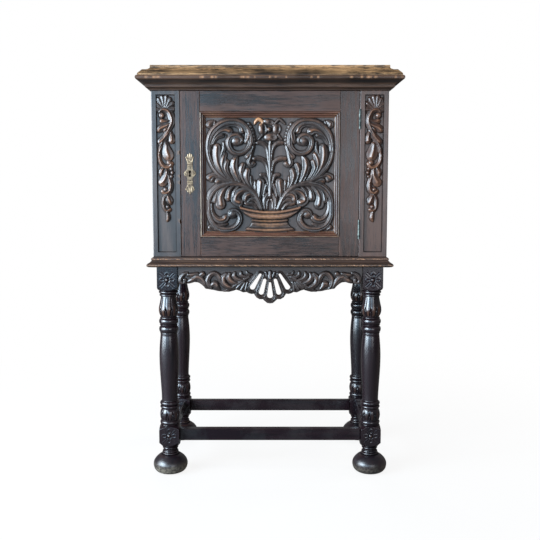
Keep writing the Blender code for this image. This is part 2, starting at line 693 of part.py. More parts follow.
def add_legs_and_feet():
    blank = add_cutter("leg_blank", turned_mesh("leg_turning", list(reversed(leg_profile())), LEG_STEPS))
    half = LEG_SIZE / 2
    stock = box_cutter("leg_stock", (-half, -half, -LEG_SIZE), (half, half, STAND_TOP_Z + LEG_SIZE))
    add_boolean(blank, stock, "INTERSECT")
    leg_mesh = evaluated_mesh(blank, "leg")
    bpy.data.objects.remove(stock)
    foot_mesh = turned_mesh("foot", list(reversed(foot_profile())), FOOT_STEPS)
    for mesh in (leg_mesh, foot_mesh):
        mesh.shade_smooth()
        mesh.set_sharp_from_angle(angle=math.radians(35))
    for corner, x, y in corner_places():
        add_part(f"leg_{corner}", leg_mesh, dark_oak, (x, y, 0))
        add_part(f"foot_{corner}", foot_mesh, dark_oak, (x, y, 0))


def add_stretchers():
    low_z = LOWER_BLOCK_Z + STRETCHER_ABOVE_BLOCK
    high_z = low_z + STRETCHER_HEIGHT
    half = STRETCHER_THICKNESS / 2
    for row, y in (("front", LEG_FRONT_Y), ("rear", LEG_REAR_Y)):
        low, high = (-SPAN_X, y - half, low_z), (SPAN_X, y + half, high_z)
        add_board(f"stretcher_{row}", low, high, dark_oak, bevel=STRETCHER_BEVEL)
    clear = LEG_SIZE / 2 + FIT_GAP
    for hand, x in (("left", -LEG_X), ("right", LEG_X)):
        low, high = (x - half, LEG_FRONT_Y + clear, low_z), (x + half, LEG_REAR_Y - clear, high_z)
        add_board(f"stretcher_{hand}", low, high, dark_oak, bevel=STRETCHER_BEVEL)


def loop_outline(top, top_radius, bottom, bottom_radius):
    """A pierced teardrop: two arcs joined by straight flanks, in drawn millimetres below the stand top."""
    run = Vector(bottom) - Vector(top)
    along = math.atan2(run.y, run.x)
    points = []
    for centre, radius, facing in ((top, top_radius, along + math.pi), (bottom, bottom_radius, along)):
        for i in range(LOOP_ARC_STEPS + 1):
            turn = facing + math.pi * (i / LOOP_ARC_STEPS - 0.5)
            points.append((centre[0] + radius * math.cos(turn), centre[1] + radius * math.sin(turn)))
    return points


def add_carved_apron():
    stretch = SPAN_X / APRON_EDGE[-1][0]

    def place(across, drop):
        return across * stretch, STAND_TOP_Z - drop * DRAWING_UNIT

    edge = [place(across, drop) for across, drop in APRON_EDGE]
    outline = mirrored([*edge, (SPAN_X, STAND_TOP_Z)])
    loops = []
    for top, top_radius, bottom, bottom_radius in APRON_LOOPS:
        loop = loop_outline(top, top_radius, bottom, bottom_radius)
        loops.append([place(across, drop) for across, drop in loop])
        if top[0]:
            loops.append([place(-across, drop) for across, drop in loop])
    face_y = FRONT_Y + APRON_FACE_SETBACK
    mesh = outline_mesh("apron_front", [outline, *loops], APRON_THICKNESS)
    apron = add_part("apron_front", mesh, dark_oak, (0, face_y + APRON_THICKNESS / 2, 0))
    carving = new_carving("apron_carving")
    for hand in (-1, 1):
        for strand in APRON_STRANDS:
            turned = [(hand * across, drop, width) for across, drop, width in strand]
            add_strand(carving, turned, place, face_y, APRON_RELIEF, DRAWING_UNIT)
    join(apron, carving)


def add_plain_aprons():
    low_z = STAND_TOP_Z - PLAIN_APRON_HEIGHT
    clear = LEG_SIZE / 2 + FIT_GAP
    for hand, side in (("left", -1), ("right", 1)):
        outer = side * (HALF_WIDTH - APRON_FACE_SETBACK)
        inner = outer - side * APRON_THICKNESS
        low = (min(outer, inner), LEG_FRONT_Y + clear, low_z)
        high = (max(outer, inner), LEG_REAR_Y - clear, STAND_TOP_Z)
        add_board(f"apron_{hand}", low, high, dark_oak)
    rear = BACK_Y - APRON_FACE_SETBACK
    add_board("apron_rear", (-SPAN_X, rear - APRON_THICKNESS, low_z), (SPAN_X, rear, STAND_TOP_Z), dark_oak)


def fitted(shares, overhang, height, inner_overhang=0.0):
    """A moulding profile in metres from its shares; share 0 lies at the inner overhang."""
    reach = overhang - inner_overhang
    return [(inner_overhang + reach * out, height * up) for out, up in shares]


def add_mitred_set(name, profile, seat, base_z, material):
    """Front, left and right mouldings of one profile, closed at the back by the face they are planted on."""
    closed = [(seat, profile[0][1]), *profile, (seat, profile[-1][1])]
    add_front_moulding(f"{name}_front", closed, base_z, material)
    add_side_moulding(f"{name}_left", -1, closed, base_z, material)
    add_side_moulding(f"{name}_right", 1, closed, base_z, material)


def add_waist():
    torus = fitted(TORUS_SHARES, TORUS_OVERHANG, TORUS_HEIGHT)
    add_mitred_set("waist_moulding", torus, FIT_GAP - LEG_SETBACK, STAND_TOP_Z - TORUS_HEIGHT, dark_oak)
    edge = fitted(BOTTOM_BOARD_SHARES, BEAD_OVERHANG, BOTTOM_THICKNESS - FIT_GAP)
    add_moulded_board("bottom_board", edge, BOTTOM_Z, dark_oak)


def add_shell(carving, place, ground_y, hand, scale):
    """Fan of flutes at the head of a pilaster."""
    heart_x, heart_drop = SHELL_HEART
    for i in range(SHELL_FLUTES):
        turn = SHELL_SPREAD * (i / (SHELL_FLUTES - 1) - 0.5)
        reach = SHELL_REACH * (1 - 0.22 * abs(math.sin(turn)))
        flute = []
        for share, width in ((0.1, 0.45), (0.6, 0.8), (0.92, 1.0), (1.12, 0.55)):
            across = heart_x + reach * share * math.sin(turn)
            drop = heart_drop - reach * share * math.cos(turn)
            flute.append((hand * across, drop, SHELL_FLUTE_WIDTH * width))
        add_strand(carving, flute, place, ground_y, PILASTER_RELIEF, scale)


def add_pilaster(name, side):
    """side is -1 for left and 1 for right; the drop is drawn for the left and mirrored for the right."""
    middle_x = side * (HALF_WIDTH - PILASTER_WIDTH / 2)
    half = PILASTER_WIDTH / 2
    low = (middle_x - half, FRONT_Y, OPENING_Z)
    high = (middle_x + half, FRAME_BACK_Y, FRIEZE_Z - FIT_GAP)
    pilaster = add_board(name, low, high, dark_oak)
    sunk_top = FRIEZE_Z - SUNK_PANEL_TOP_MARGIN
    sunk_bottom = OPENING_Z + SUNK_PANEL_BOTTOM_MARGIN
    sunk_half = SUNK_PANEL_WIDTH / 2
    ground_y = FRONT_Y + SUNK_PANEL_DEPTH
    well_low = (middle_x - sunk_half, FRONT_Y - SUNK_PANEL_DEPTH, sunk_bottom)
    well_high = (middle_x + sunk_half, ground_y, sunk_top)
    cut(pilaster, box_cutter(f"{name}_sunk_panel", well_low, well_high))
    across_fit = sunk_half / DRAWN_DROP_HALF_WIDTH
    down_fit = (sunk_top - sunk_bottom) / DRAWN_DROP_HEIGHT

    def place(across, drop):
        return middle_x + across * across_fit, sunk_top - drop * down_fit

    carving = new_carving(f"{name}_carving")
    add_shell(carving, place, ground_y, -side, across_fit)
    for strand in DROP_STRANDS:
        turned = [(-side * across, drop, width) for across, drop, width in strand]
        add_strand(carving, turned, place, ground_y, PILASTER_RELIEF, across_fit)
    join(pilaster, carving)
    return pilaster


def add_carcase():
    side_low_y = FRAME_BACK_Y + FIT_GAP
    for hand, side in (("left", -1), ("right", 1)):
        outer = side * HALF_WIDTH
        inner = side * (HALF_WIDTH - SIDE_THICKNESS)
        low = (min(outer, inner), side_low_y, OPENING_Z)
        high = (max(outer, inner), BACK_Y, TOP_Z - FIT_GAP)
        add_board(f"side_{hand}", low, high, dark_oak)
    back_y = BACK_Y - BACK_THICKNESS
    add_board("back_panel", (-INNER_X, back_y, OPENING_Z), (INNER_X, BACK_Y, TOP_Z - FIT_GAP), inner_oak)
    frieze_low = (-HALF_WIDTH, FRONT_Y, FRIEZE_Z)
    frieze_high = (HALF_WIDTH, FRAME_BACK_Y, TOP_Z - FIT_GAP)
    add_board("frieze_rail", frieze_low, frieze_high, dark_oak)


def add_shelf():
    shelf_z = OPENING_Z + SHELF_HEIGHT_IN_OPENING
    front_y = FRONT_Y + SHELF_SETBACK
    back_y = BACK_Y - BACK_THICKNESS - FIT_GAP
    high = (INNER_X, back_y, shelf_z + SHELF_THICKNESS)
    add_board("shelf", (-INNER_X, front_y, shelf_z), high, inner_oak)
    cleat_top = shelf_z - FIT_GAP
    for hand, side in (("left", -1), ("right", 1)):
        outer = side * INNER_X
        inner = side * (INNER_X - CLEAT_SIZE)
        low = (min(outer, inner), front_y, cleat_top - CLEAT_SIZE)
        add_board(f"shelf_cleat_{hand}", low, (max(outer, inner), back_y, cleat_top), inner_oak)


def add_top():
    cornice = fitted(CORNICE_SHARES, NOSE_OVERHANG, FRIEZE_HEIGHT - FIT_GAP)
    add_mitred_set("cornice", cornice, FIT_GAP, FRIEZE_Z, worn_oak)
    lip = NOSE_OVERHANG - TOP_LIP_SETBACK
    edge = fitted(TOP_BOARD_SHARES, lip, TOP_THICKNESS, TOP_FILLET_OVERHANG)
    add_moulded_board("top_board", edge, TOP_Z, worn_oak)


def add_door_frame(door):
    """Stiles run the whole height and the rails sit between them."""
    back_y = FRAME_BACK_Y
    edge = FRAME_X - FIT_GAP
    lock_stile = add_board(
        "door_stile_lock", (-DOOR_X, FRONT_Y, DOOR_Z), (-FRAME_X, back_y, DOOR_TOP_Z), dark_oak, door
    )
    hinge_stile = add_board(
        "door_stile_hinge", (FRAME_X, FRONT_Y, DOOR_Z), (DOOR_X, back_y, DOOR_TOP_Z), dark_oak, door
    )
    add_board("door_rail_top", (-edge, FRONT_Y, FRAME_TOP_Z), (edge, back_y, DOOR_TOP_Z), dark_oak, door)
    add_board("door_rail_bottom", (-edge, FRONT_Y, DOOR_Z), (edge, back_y, FRAME_Z), dark_oak, door)
    return lock_stile, hinge_stile


def add_panel_mouldings(door):
    """Four mitred lengths round the inside of the door frame."""
    gap = FIT_GAP
    runs = {
        "bottom": lambda u: ((u + gap - FRAME_X, FRAME_Z + u), (FRAME_X - u - gap, FRAME_Z + u)),
        "top": lambda u: ((u + gap - FRAME_X, FRAME_TOP_Z - u), (FRAME_X - u - gap, FRAME_TOP_Z - u)),
        "left": lambda u: ((u - FRAME_X, FRAME_Z + u + gap), (u - FRAME_X, FRAME_TOP_Z - u - gap)),
        "right": lambda u: ((FRAME_X - u, FRAME_Z + u + gap), (FRAME_X - u, FRAME_TOP_Z - u - gap)),
    }
    back = PANEL_GROUND_DEPTH - FIT_GAP
    bead = PANEL_MOULDING_BEAD
    eased = bead * 0.3
    profile = [(FIT_GAP, back), (FIT_GAP, 0.0), (eased, -PANEL_MOULDING_PROUD), (bead, -PANEL_MOULDING_PROUD)]
    profile += [(PANEL_MOULDING_WIDTH * in_share, back * depth) for in_share, depth in PANEL_MOULDING_SHARES]
    profile += [(PANEL_MOULDING_WIDTH, back)]
    for hand, run in runs.items():
        starts = []
        ends = []
        for inward, depth in profile:
            (x0, z0), (x1, z1) = run(inward)
            starts.append(Vector((x0, FRONT_Y + depth, z0)))
            ends.append(Vector((x1, FRONT_Y + depth, z1)))
        name = f"panel_moulding_{hand}"
        add_part(name, strip_mesh(name, starts, ends), dark_oak, (0, 0, 0), door)


def add_carved_panel(door):
    low = (-FRAME_X + FIT_GAP, GROUND_Y, FRAME_Z + FIT_GAP)
    high = (FRAME_X - FIT_GAP, GROUND_Y + PANEL_THICKNESS, FRAME_TOP_Z - FIT_GAP)
    panel = add_board("door_panel", low, high, dark_oak, door, bevel=0)
    points = [point for strand in (*PANEL_STRANDS, *VASE_STRANDS) for point in strand]
    widest = max(across + width / 2 for across, _, width in points)
    highest = max(up + width / 2 for _, up, width in points)
    lowest = min(up - width / 2 for _, up, width in points)
    field_height = 2 * SIGHT_HALF_HEIGHT - CARVING_TOP_MARGIN - CARVING_BOTTOM_MARGIN
    across_fit = (SIGHT_HALF_WIDTH - CARVING_SIDE_MARGIN) / widest
    up_fit = field_height / (highest - lowest)
    field_z = FRAME_Z + PANEL_MOULDING_WIDTH + CARVING_BOTTOM_MARGIN

    def place(across, up):
        return across * across_fit, field_z + (up - lowest) * up_fit

    carving = new_carving("door_panel_carving")
    vase = [place(across, up) for across, up in VASE_OUTLINE]
    vase_mesh = outline_mesh("vase", [mirrored(vase)], 2 * VASE_RELIEF)
    add_cutter("vase", vase_mesh, (0, GROUND_Y, 0), carving)
    for strand in (PANEL_STEM, PANEL_FLOWER_HEART):
        add_strand(carving, strand, place, GROUND_Y, PANEL_RELIEF, across_fit)
    for hand in (-1, 1):
        for strand in (*VASE_STRANDS, *PANEL_STRANDS):
            ground_y = GROUND_Y - VASE_RELIEF if strand in VASE_STRANDS else GROUND_Y
            relief = PANEL_RELIEF - VASE_RELIEF if strand in VASE_STRANDS else PANEL_RELIEF
            turned = [(hand * across, up, width) for across, up, width in strand]
            add_strand(carving, turned, place, ground_y, relief, across_fit)
    join(panel, carving)


def hinge_middles():
    return (("lower", DOOR_Z + HINGE_FROM_DOOR_END), ("upper", DOOR_TOP_Z - HINGE_FROM_DOOR_END))


def add_hinge_leaf(name, plate_x, knuckles, middle_z, parent=None):
    """A leaf with its knuckles, bored for the pin. knuckles are (low, high) heights from the middle."""
    plate_y = HINGE_Y + KNUCKLE_RADIUS + FIT_GAP
    half = HINGE_LENGTH / 2
    low = (plate_x, plate_y, middle_z - half)
    high = (plate_x + LEAF_THICKNESS, plate_y + LEAF_DEPTH, middle_z + half)
    leaf = add_board(name, low, high, bronze, parent, bevel=0)
    for count, (bottom, top) in enumerate(knuckles):
        tongue_low = (plate_x, HINGE_Y, middle_z + bottom)
        tongue_high = (plate_x + LEAF_THICKNESS, plate_y + LEAF_THICKNESS, middle_z + top)
        join(leaf, box_cutter(f"{name}_tongue_{count}", tongue_low, tongue_high))
        barrel = rod_mesh(f"{name}_knuckle_{count}", KNUCKLE_RADIUS, top - bottom)
        at = (HINGE_X, HINGE_Y, middle_z + (bottom + top) / 2)
        join(leaf, add_cutter(barrel.name, barrel, at))
    bore = rod_mesh(f"{name}_bore", HINGE_PIN_RADIUS + FIT_GAP, 2 * HINGE_LENGTH)
    cut(leaf, add_cutter(bore.name, bore, (HINGE_X, HINGE_Y, middle_z)))


def add_hinges(door, hinge_stile, pilaster):
    half = HINGE_LENGTH / 2
    third = HINGE_LENGTH / 6
    gap = FIT_GAP / 2
    for place, middle_z in hinge_middles():
        frame_knuckles = ((-half, -third - gap), (third + gap, half))
        add_hinge_leaf(f"hinge_{place}_frame_leaf", OPENING_X, frame_knuckles, middle_z)
        door_knuckles = ((-third + gap, third - gap),)
        add_hinge_leaf(f"hinge_{place}_door_leaf", DOOR_X - LEAF_THICKNESS, door_knuckles, middle_z, door)
        pin = rod_mesh(f"hinge_{place}_pin", HINGE_PIN_RADIUS, HINGE_LENGTH + 2 * HINGE_PIN_TIP)
        add_part(pin.name, pin, bronze, (HINGE_X, HINGE_Y, middle_z))
        plate_end = HINGE_Y + KNUCKLE_RADIUS + LEAF_DEPTH + 2 * FIT_GAP
        pocket = rod_mesh(f"hinge_{place}_pocket", KNUCKLE_RADIUS + FIT_GAP, HINGE_LENGTH + 2 * FIT_GAP)
        barrel = add_cutter(pocket.name, pocket, (HINGE_X, HINGE_Y, middle_z))
        bottom = middle_z - half - FIT_GAP
        top = middle_z + half + FIT_GAP
        deep = LEAF_THICKNESS + FIT_GAP
        for wood, inner, outer in (
            (hinge_stile, DOOR_X - deep, DOOR_X + DOOR_GAP),
            (pilaster, OPENING_X - DOOR_GAP, OPENING_X + deep),
        ):
            name = f"{wood.name}_{place}_recess"
            recess = box_cutter(name, (inner, HINGE_Y - KNUCKLE_RADIUS, bottom), (outer, plate_end, top))
            cut(wood, recess)
            cut(wood, barrel)


def keyhole_cutter():
    """Round head over a straight slot, long enough to pass escutcheon, stile and lock."""
    reach = FRONT_THICKNESS + LOCK_DEPTH + ESCUTCHEON_THICKNESS
    head = []
    half_slot = KEYHOLE_SLOT_WIDTH / 2
    head_z = KEYHOLE_SLOT_DROP / 2
    start = -math.acos(half_slot / KEYHOLE_ROUND_RADIUS)
    sweep = math.pi - 2 * start
    for i in range(SMALL_ROUND_STEPS + 1):
        turn = start + sweep * i / SMALL_ROUND_STEPS
        head.append((KEYHOLE_ROUND_RADIUS * math.cos(turn), head_z + KEYHOLE_ROUND_RADIUS * math.sin(turn)))
    outline = [*head, (-half_slot, -head_z), (half_slot, -head_z)]
    mesh = outline_mesh("keyhole", [outline], 3 * reach)
    return add_cutter("keyhole", mesh, (KEYHOLE_X, FRONT_Y, KEYHOLE_Z))


def add_escutcheon(door, lock_stile, keyhole):
    outline = mirrored([(x * DRAWING_UNIT, z * DRAWING_UNIT) for x, z in ESCUTCHEON_HALF])
    mesh = outline_mesh("escutcheon", [outline], ESCUTCHEON_THICKNESS)
    plate_y = FRONT_Y - FIT_GAP - ESCUTCHEON_THICKNESS / 2
    plate = add_part("escutcheon", mesh, brass, (KEYHOLE_X, plate_y, KEYHOLE_Z), door)
    cut(plate, keyhole)
    cut(lock_stile, keyhole)
    front_y = FRONT_Y - 2 * FIT_GAP - ESCUTCHEON_THICKNESS
    dome = PIN_HEAD_RADIUS * 0.7
    profile = [(0.0, dome), (PIN_HEAD_RADIUS * 0.7, dome * 0.7), (PIN_HEAD_RADIUS, 0.0)]
    profile += [(PIN_SHANK_RADIUS, 0.0), (PIN_SHANK_RADIUS, -PIN_LENGTH), (0.0, -PIN_LENGTH)]
    for place, offset in (("upper", ESCUTCHEON_PIN_ABOVE), ("lower", -ESCUTCHEON_PIN_BELOW)):
        name = f"escutcheon_pin_{place}"
        at = (KEYHOLE_X, front_y, KEYHOLE_Z + offset)
        pin = add_part(name, turned_mesh(name, profile, SMALL_ROUND_STEPS), brass, at, door)
        pin.rotation_euler.x = math.pi / 2
        hole = rod_mesh(f"{name}_hole", PIN_SHANK_RADIUS + FIT_GAP, 2 * (PIN_LENGTH + FIT_GAP))
        drill = add_cutter(hole.name, hole, at)
        drill.rotation_euler.x = math.pi / 2
        cut(plate, drill)
        cut(lock_stile, drill)


def add_lock(door, keyhole):
    """Case screwed to the back of the lock stile; its bolt slides behind the left pilaster."""
    edge_x = -DOOR_X + LOCK_INSET
    low_z = KEYHOLE_Z - LOCK_HEIGHT / 2
    case_high = (edge_x + LOCK_WIDTH, LOCK_Y + LOCK_DEPTH, low_z + LOCK_HEIGHT)
    case = add_board("lock_case", (edge_x, LOCK_Y, low_z), case_high, steel, door)
    cut(case, keyhole)
    bolt_y = LOCK_Y + (LOCK_DEPTH - BOLT_THICKNESS) / 2
    bolt_z = KEYHOLE_Z + BOLT_ABOVE_KEYHOLE - BOLT_HEIGHT / 2
    bolt_low = Vector((edge_x, bolt_y, bolt_z))
    bolt_high = bolt_low + Vector((BOLT_LENGTH, BOLT_THICKNESS, BOLT_HEIGHT))
    fit = Vector((FIT_GAP, FIT_GAP, FIT_GAP))
    open_end = Vector((LOCK_INSET, 0, 0))
    cut(case, box_cutter("bolt_channel", bolt_low - fit - open_end, bolt_high + fit))
    runner = add_joint_empty("lock_bolt_runner", (edge_x - BOLT_THROW, bolt_y, bolt_z), door)
    add_board("lock_bolt", bolt_low, bolt_high, steel, runner)


def add_door(right_pilaster):
    door = add_joint_empty("door_hinge_axis", (HINGE_X, HINGE_Y, DOOR_Z))
    lock_stile, hinge_stile = add_door_frame(door)
    add_panel_mouldings(door)
    add_carved_panel(door)
    add_hinges(door, hinge_stile, right_pilaster)
    keyhole = keyhole_cutter()
    add_escutcheon(door, lock_stile, keyhole)
    add_lock(door, keyhole)


add_legs_and_feet()
add_stretchers()
add_carved_apron()
add_plain_aprons()
add_waist()
add_carcase()
add_shelf()
add_pilaster("pilaster_left", -1)
add_door(add_pilaster("pilaster_right", 1))
add_top()
for part, other, operation in waiting_booleans:
    add_boolean(part, other, operation)
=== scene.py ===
import math

import bmesh
import bpy
import numpy as np
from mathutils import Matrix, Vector


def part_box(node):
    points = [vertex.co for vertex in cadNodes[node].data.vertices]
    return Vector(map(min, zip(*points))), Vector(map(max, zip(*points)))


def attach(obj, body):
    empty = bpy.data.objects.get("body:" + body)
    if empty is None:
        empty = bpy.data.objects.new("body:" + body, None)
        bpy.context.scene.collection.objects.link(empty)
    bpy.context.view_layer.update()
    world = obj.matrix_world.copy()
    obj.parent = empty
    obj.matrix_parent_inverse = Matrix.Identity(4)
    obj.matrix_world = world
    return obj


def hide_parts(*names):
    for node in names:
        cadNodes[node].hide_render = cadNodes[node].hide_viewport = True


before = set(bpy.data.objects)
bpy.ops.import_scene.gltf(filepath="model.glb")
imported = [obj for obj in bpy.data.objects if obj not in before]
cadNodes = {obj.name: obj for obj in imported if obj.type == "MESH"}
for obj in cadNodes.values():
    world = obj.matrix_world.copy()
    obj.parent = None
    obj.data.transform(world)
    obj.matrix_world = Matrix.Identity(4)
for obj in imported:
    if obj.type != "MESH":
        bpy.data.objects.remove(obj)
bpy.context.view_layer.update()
scene = bpy.context.scene
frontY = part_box("door_stile_lock")[0][1]  # face of the door and of the pilasters
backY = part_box("side_left")[1][1]
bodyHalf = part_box("side_right")[1][0]
mm = 0.001
plateLow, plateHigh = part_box("escutcheon")
keyholeAt = ((plateLow[0] + plateHigh[0]) / 2, frontY, plateHigh[2] - 64 * mm)  # middle of its keyhole
print("frame loaded:", len(cadNodes), "nodes")


# shader helpers

def addNode(tree, kind, sockets=None, **settings):
    made = tree.nodes.new(kind)
    for key, value in settings.items():
        setattr(made, key, value)
    for key, value in (sockets or {}).items():
        made.inputs[key].default_value = value
    return made


def newGroup(name, inputs, outputs):
    tree = bpy.data.node_groups.new(name, "ShaderNodeTree")
    for label, kind, value in inputs:
        socket = tree.interface.new_socket(label, in_out="INPUT", socket_type=kind)
        if value is not None:
            socket.default_value = value
    for label in outputs:
        tree.interface.new_socket(label, in_out="OUTPUT", socket_type="NodeSocketFloat")
    return tree, tree.nodes.new("NodeGroupInput"), tree.nodes.new("NodeGroupOutput")


def useGroup(tree, group, values=None):
    made = tree.nodes.new("ShaderNodeGroup")
    made.node_tree = group
    for key, value in (values or {}).items():
        made.inputs[key].default_value = value
    return made


def mathNode(tree, operation, first, second=0.5):
    made = addNode(tree, "ShaderNodeMath", operation=operation)
    for socket, value in zip(made.inputs, (first, second)):
        if hasattr(value, "is_linked"):
            tree.links.new(value, socket)
        else:
            socket.default_value = value
    return made.outputs[0]


def rangeNode(tree, value, low, high, toLow=0.0, toHigh=1.0):
    made = addNode(tree, "ShaderNodeMapRange", interpolation_type="SMOOTHSTEP")
    tree.links.new(value, made.inputs[0])
    for socket, number in zip(made.inputs[1:5], (low, high, toLow, toHigh)):
        socket.default_value = number
    return made.outputs[0]


def mixColour(tree, share, first, second, blend="MIX"):
    made = addNode(tree, "ShaderNodeMix", data_type="RGBA", blend_type=blend)
    for socket, value in ((made.inputs[0], share), (made.inputs[6], first), (made.inputs[7], second)):
        if hasattr(value, "is_linked"):
            tree.links.new(value, socket)
        elif isinstance(value, tuple):
            socket.default_value = (*value, 1.0)
        else:
            socket.default_value = value
    return made.outputs[2]


# open oak grain: the vector arrives squashed along the grain
def makeOakGrain():
    tree, given, out = newGroup(
        "oakGrain",
        [("Vector", "NodeSocketVector", None), ("Figure Scale", "NodeSocketFloat", 9.0),
         ("Pore Scale", "NodeSocketFloat", 260.0)],
        ["Figure", "Pores"],
    )
    link = tree.links.new
    broad = addNode(tree, "ShaderNodeTexNoise", {"Detail": 6.0, "Roughness": 0.62, "Distortion": 0.9})
    link(given.outputs["Vector"], broad.inputs["Vector"])
    link(given.outputs["Figure Scale"], broad.inputs["Scale"])
    streaks = addNode(tree, "ShaderNodeTexNoise", {"Detail": 4.0, "Roughness": 0.7})
    link(given.outputs["Vector"], streaks.inputs["Vector"])
    link(mathNode(tree, "MULTIPLY", given.outputs["Figure Scale"], 9.0), streaks.inputs["Scale"])
    pores = addNode(tree, "ShaderNodeTexNoise", {"Detail": 2.0, "Roughness": 0.5})
    link(given.outputs["Vector"], pores.inputs["Vector"])
    link(given.outputs["Pore Scale"], pores.inputs["Scale"])
    broadShare = mathNode(tree, "MULTIPLY", broad.outputs[0], 0.6)
    streakShare = mathNode(tree, "MULTIPLY", streaks.outputs[0], 0.4)
    figure = mathNode(tree, "ADD", broadShare, streakShare)
    link(rangeNode(tree, figure, 0.36, 0.64), out.inputs["Figure"])
    link(rangeNode(tree, pores.outputs[0], 0.57, 0.70), out.inputs["Pores"])
    return tree


# rubbed arrises on straight boards
def makeEdgeRub():
    tree, given, out = newGroup(
        "edgeRub",
        [
            ("Vector", "NodeSocketVector", None),
            ("Width", "NodeSocketFloat", 0.003),
            ("Break", "NodeSocketFloat", 26.0),
        ],
        ["Rubbed"],
    )
    link = tree.links.new
    rounded = addNode(tree, "ShaderNodeBevel", samples=4)
    link(given.outputs["Width"], rounded.inputs["Radius"])
    plain = addNode(tree, "ShaderNodeNewGeometry")
    facing = addNode(tree, "ShaderNodeVectorMath", operation="DOT_PRODUCT")
    link(rounded.outputs[0], facing.inputs[0])
    link(plain.outputs["True Normal"], facing.inputs[1])
    turned = mathNode(tree, "SUBTRACT", 1.0, facing.outputs["Value"])
    patches = addNode(tree, "ShaderNodeTexNoise", {"Detail": 5.0, "Roughness": 0.65})
    link(given.outputs["Vector"], patches.inputs["Vector"])
    link(given.outputs["Break"], patches.inputs["Scale"])
    edge = rangeNode(tree, turned, 0.01, 0.16)
    broken = rangeNode(tree, patches.outputs[0], 0.42, 0.66)
    link(mathNode(tree, "MULTIPLY", edge, broken), out.inputs["Rubbed"])
    return tree


# handling wear and old wax: crest, and hollow (dark wax with painted shade), are measured on the carved
# meshes
def makePatina():
    tree, given, out = newGroup(
        "patina",
        [
            ("Vector", "NodeSocketVector", None),
            ("Crest", "NodeSocketFloat", 0.0),
            ("Wear", "NodeSocketFloat", 0.5),
            ("Patch Scale", "NodeSocketFloat", 11.0),
        ],
        ["Worn", "Cloud"],
    )
    link = tree.links.new
    patches = addNode(tree, "ShaderNodeTexNoise", {"Detail": 6.0, "Roughness": 0.6})
    link(given.outputs["Vector"], patches.inputs["Vector"])
    link(given.outputs["Patch Scale"], patches.inputs["Scale"])
    fine = addNode(tree, "ShaderNodeTexNoise", {"Scale": 160.0, "Detail": 3.0})
    link(given.outputs["Vector"], fine.inputs["Vector"])
    uneven = mathNode(tree, "ADD", patches.outputs[0], mathNode(tree, "MULTIPLY", fine.outputs[0], 0.35))
    raised = mathNode(tree, "MULTIPLY", given.outputs["Crest"], given.outputs["Wear"])
    link(rangeNode(tree, mathNode(tree, "ADD", raised, uneven), 0.95, 1.45), out.inputs["Worn"])
    link(rangeNode(tree, patches.outputs[0], 0.35, 0.65), out.inputs["Cloud"])
    return tree


oakGrain = makeOakGrain()
edgeRub = makeEdgeRub()
patina = makePatina()


def newMaterial(name):
    material = bpy.data.materials.new(name)
    material.use_nodes = True
    tree = material.node_tree
    place = tree.nodes.new("ShaderNodeTexCoord").outputs["Object"]
    return material, tree, tree.nodes["Principled BSDF"], place


def readAttribute(tree, name):
    return addNode(tree, "ShaderNodeAttribute", attribute_name=name).outputs["Fac"]


oakFinish = {
    "dark": (0.0195, 0.0150, 0.0145),
    "brown": (0.085, 0.055, 0.0450),
    "pore": (0.0045, 0.0032, 0.0030),
    "worn": (0.235, 0.105, 0.055),
    "chip": (0.58, 0.285, 0.135),
    # near-black laid into hollows, creases and the carved ground: dark wax with painted shade
    "grimeAndShade": (0.0032, 0.0024, 0.0024),
    "roughLow": 0.30,
    "roughHigh": 0.42,
    "coat": 0.85,
    "coatRoughness": 0.31,
    "coatIor": 1.5,
    "squash": 0.07,
    "edgeShare": 0.55,
    "wear": 0.62,
    "dust": (0.34, 0.285, 0.215),
    "figure": 9.0,
    "contrast": 0.0,
    "dashes": 0.0,
    "flecks": 0.0,
    "cloud": 0.30,
    "bump": 0.12,
    "shine": 0.5,
    "poreShare": 0.75,
    "grimeAndShadeShare": 0.85,
    "hollowRough": 0.45,
    "dustReach": (0.044, 0.008),  # heights above the floor where it starts and is thickest
    "dustAcross": (0.33, -0.33, 0.4, 1.0),  # thinner to the right
    "dustShare": 0.85,
    "dustRough": 0.3,
    # painted shade: near-black laid round the keyhole so that its opening reads dark
    "paintedShade": (0.001, 0.001, 0.001),
    "paintedShadeReach": (0.018, 0.012),
}
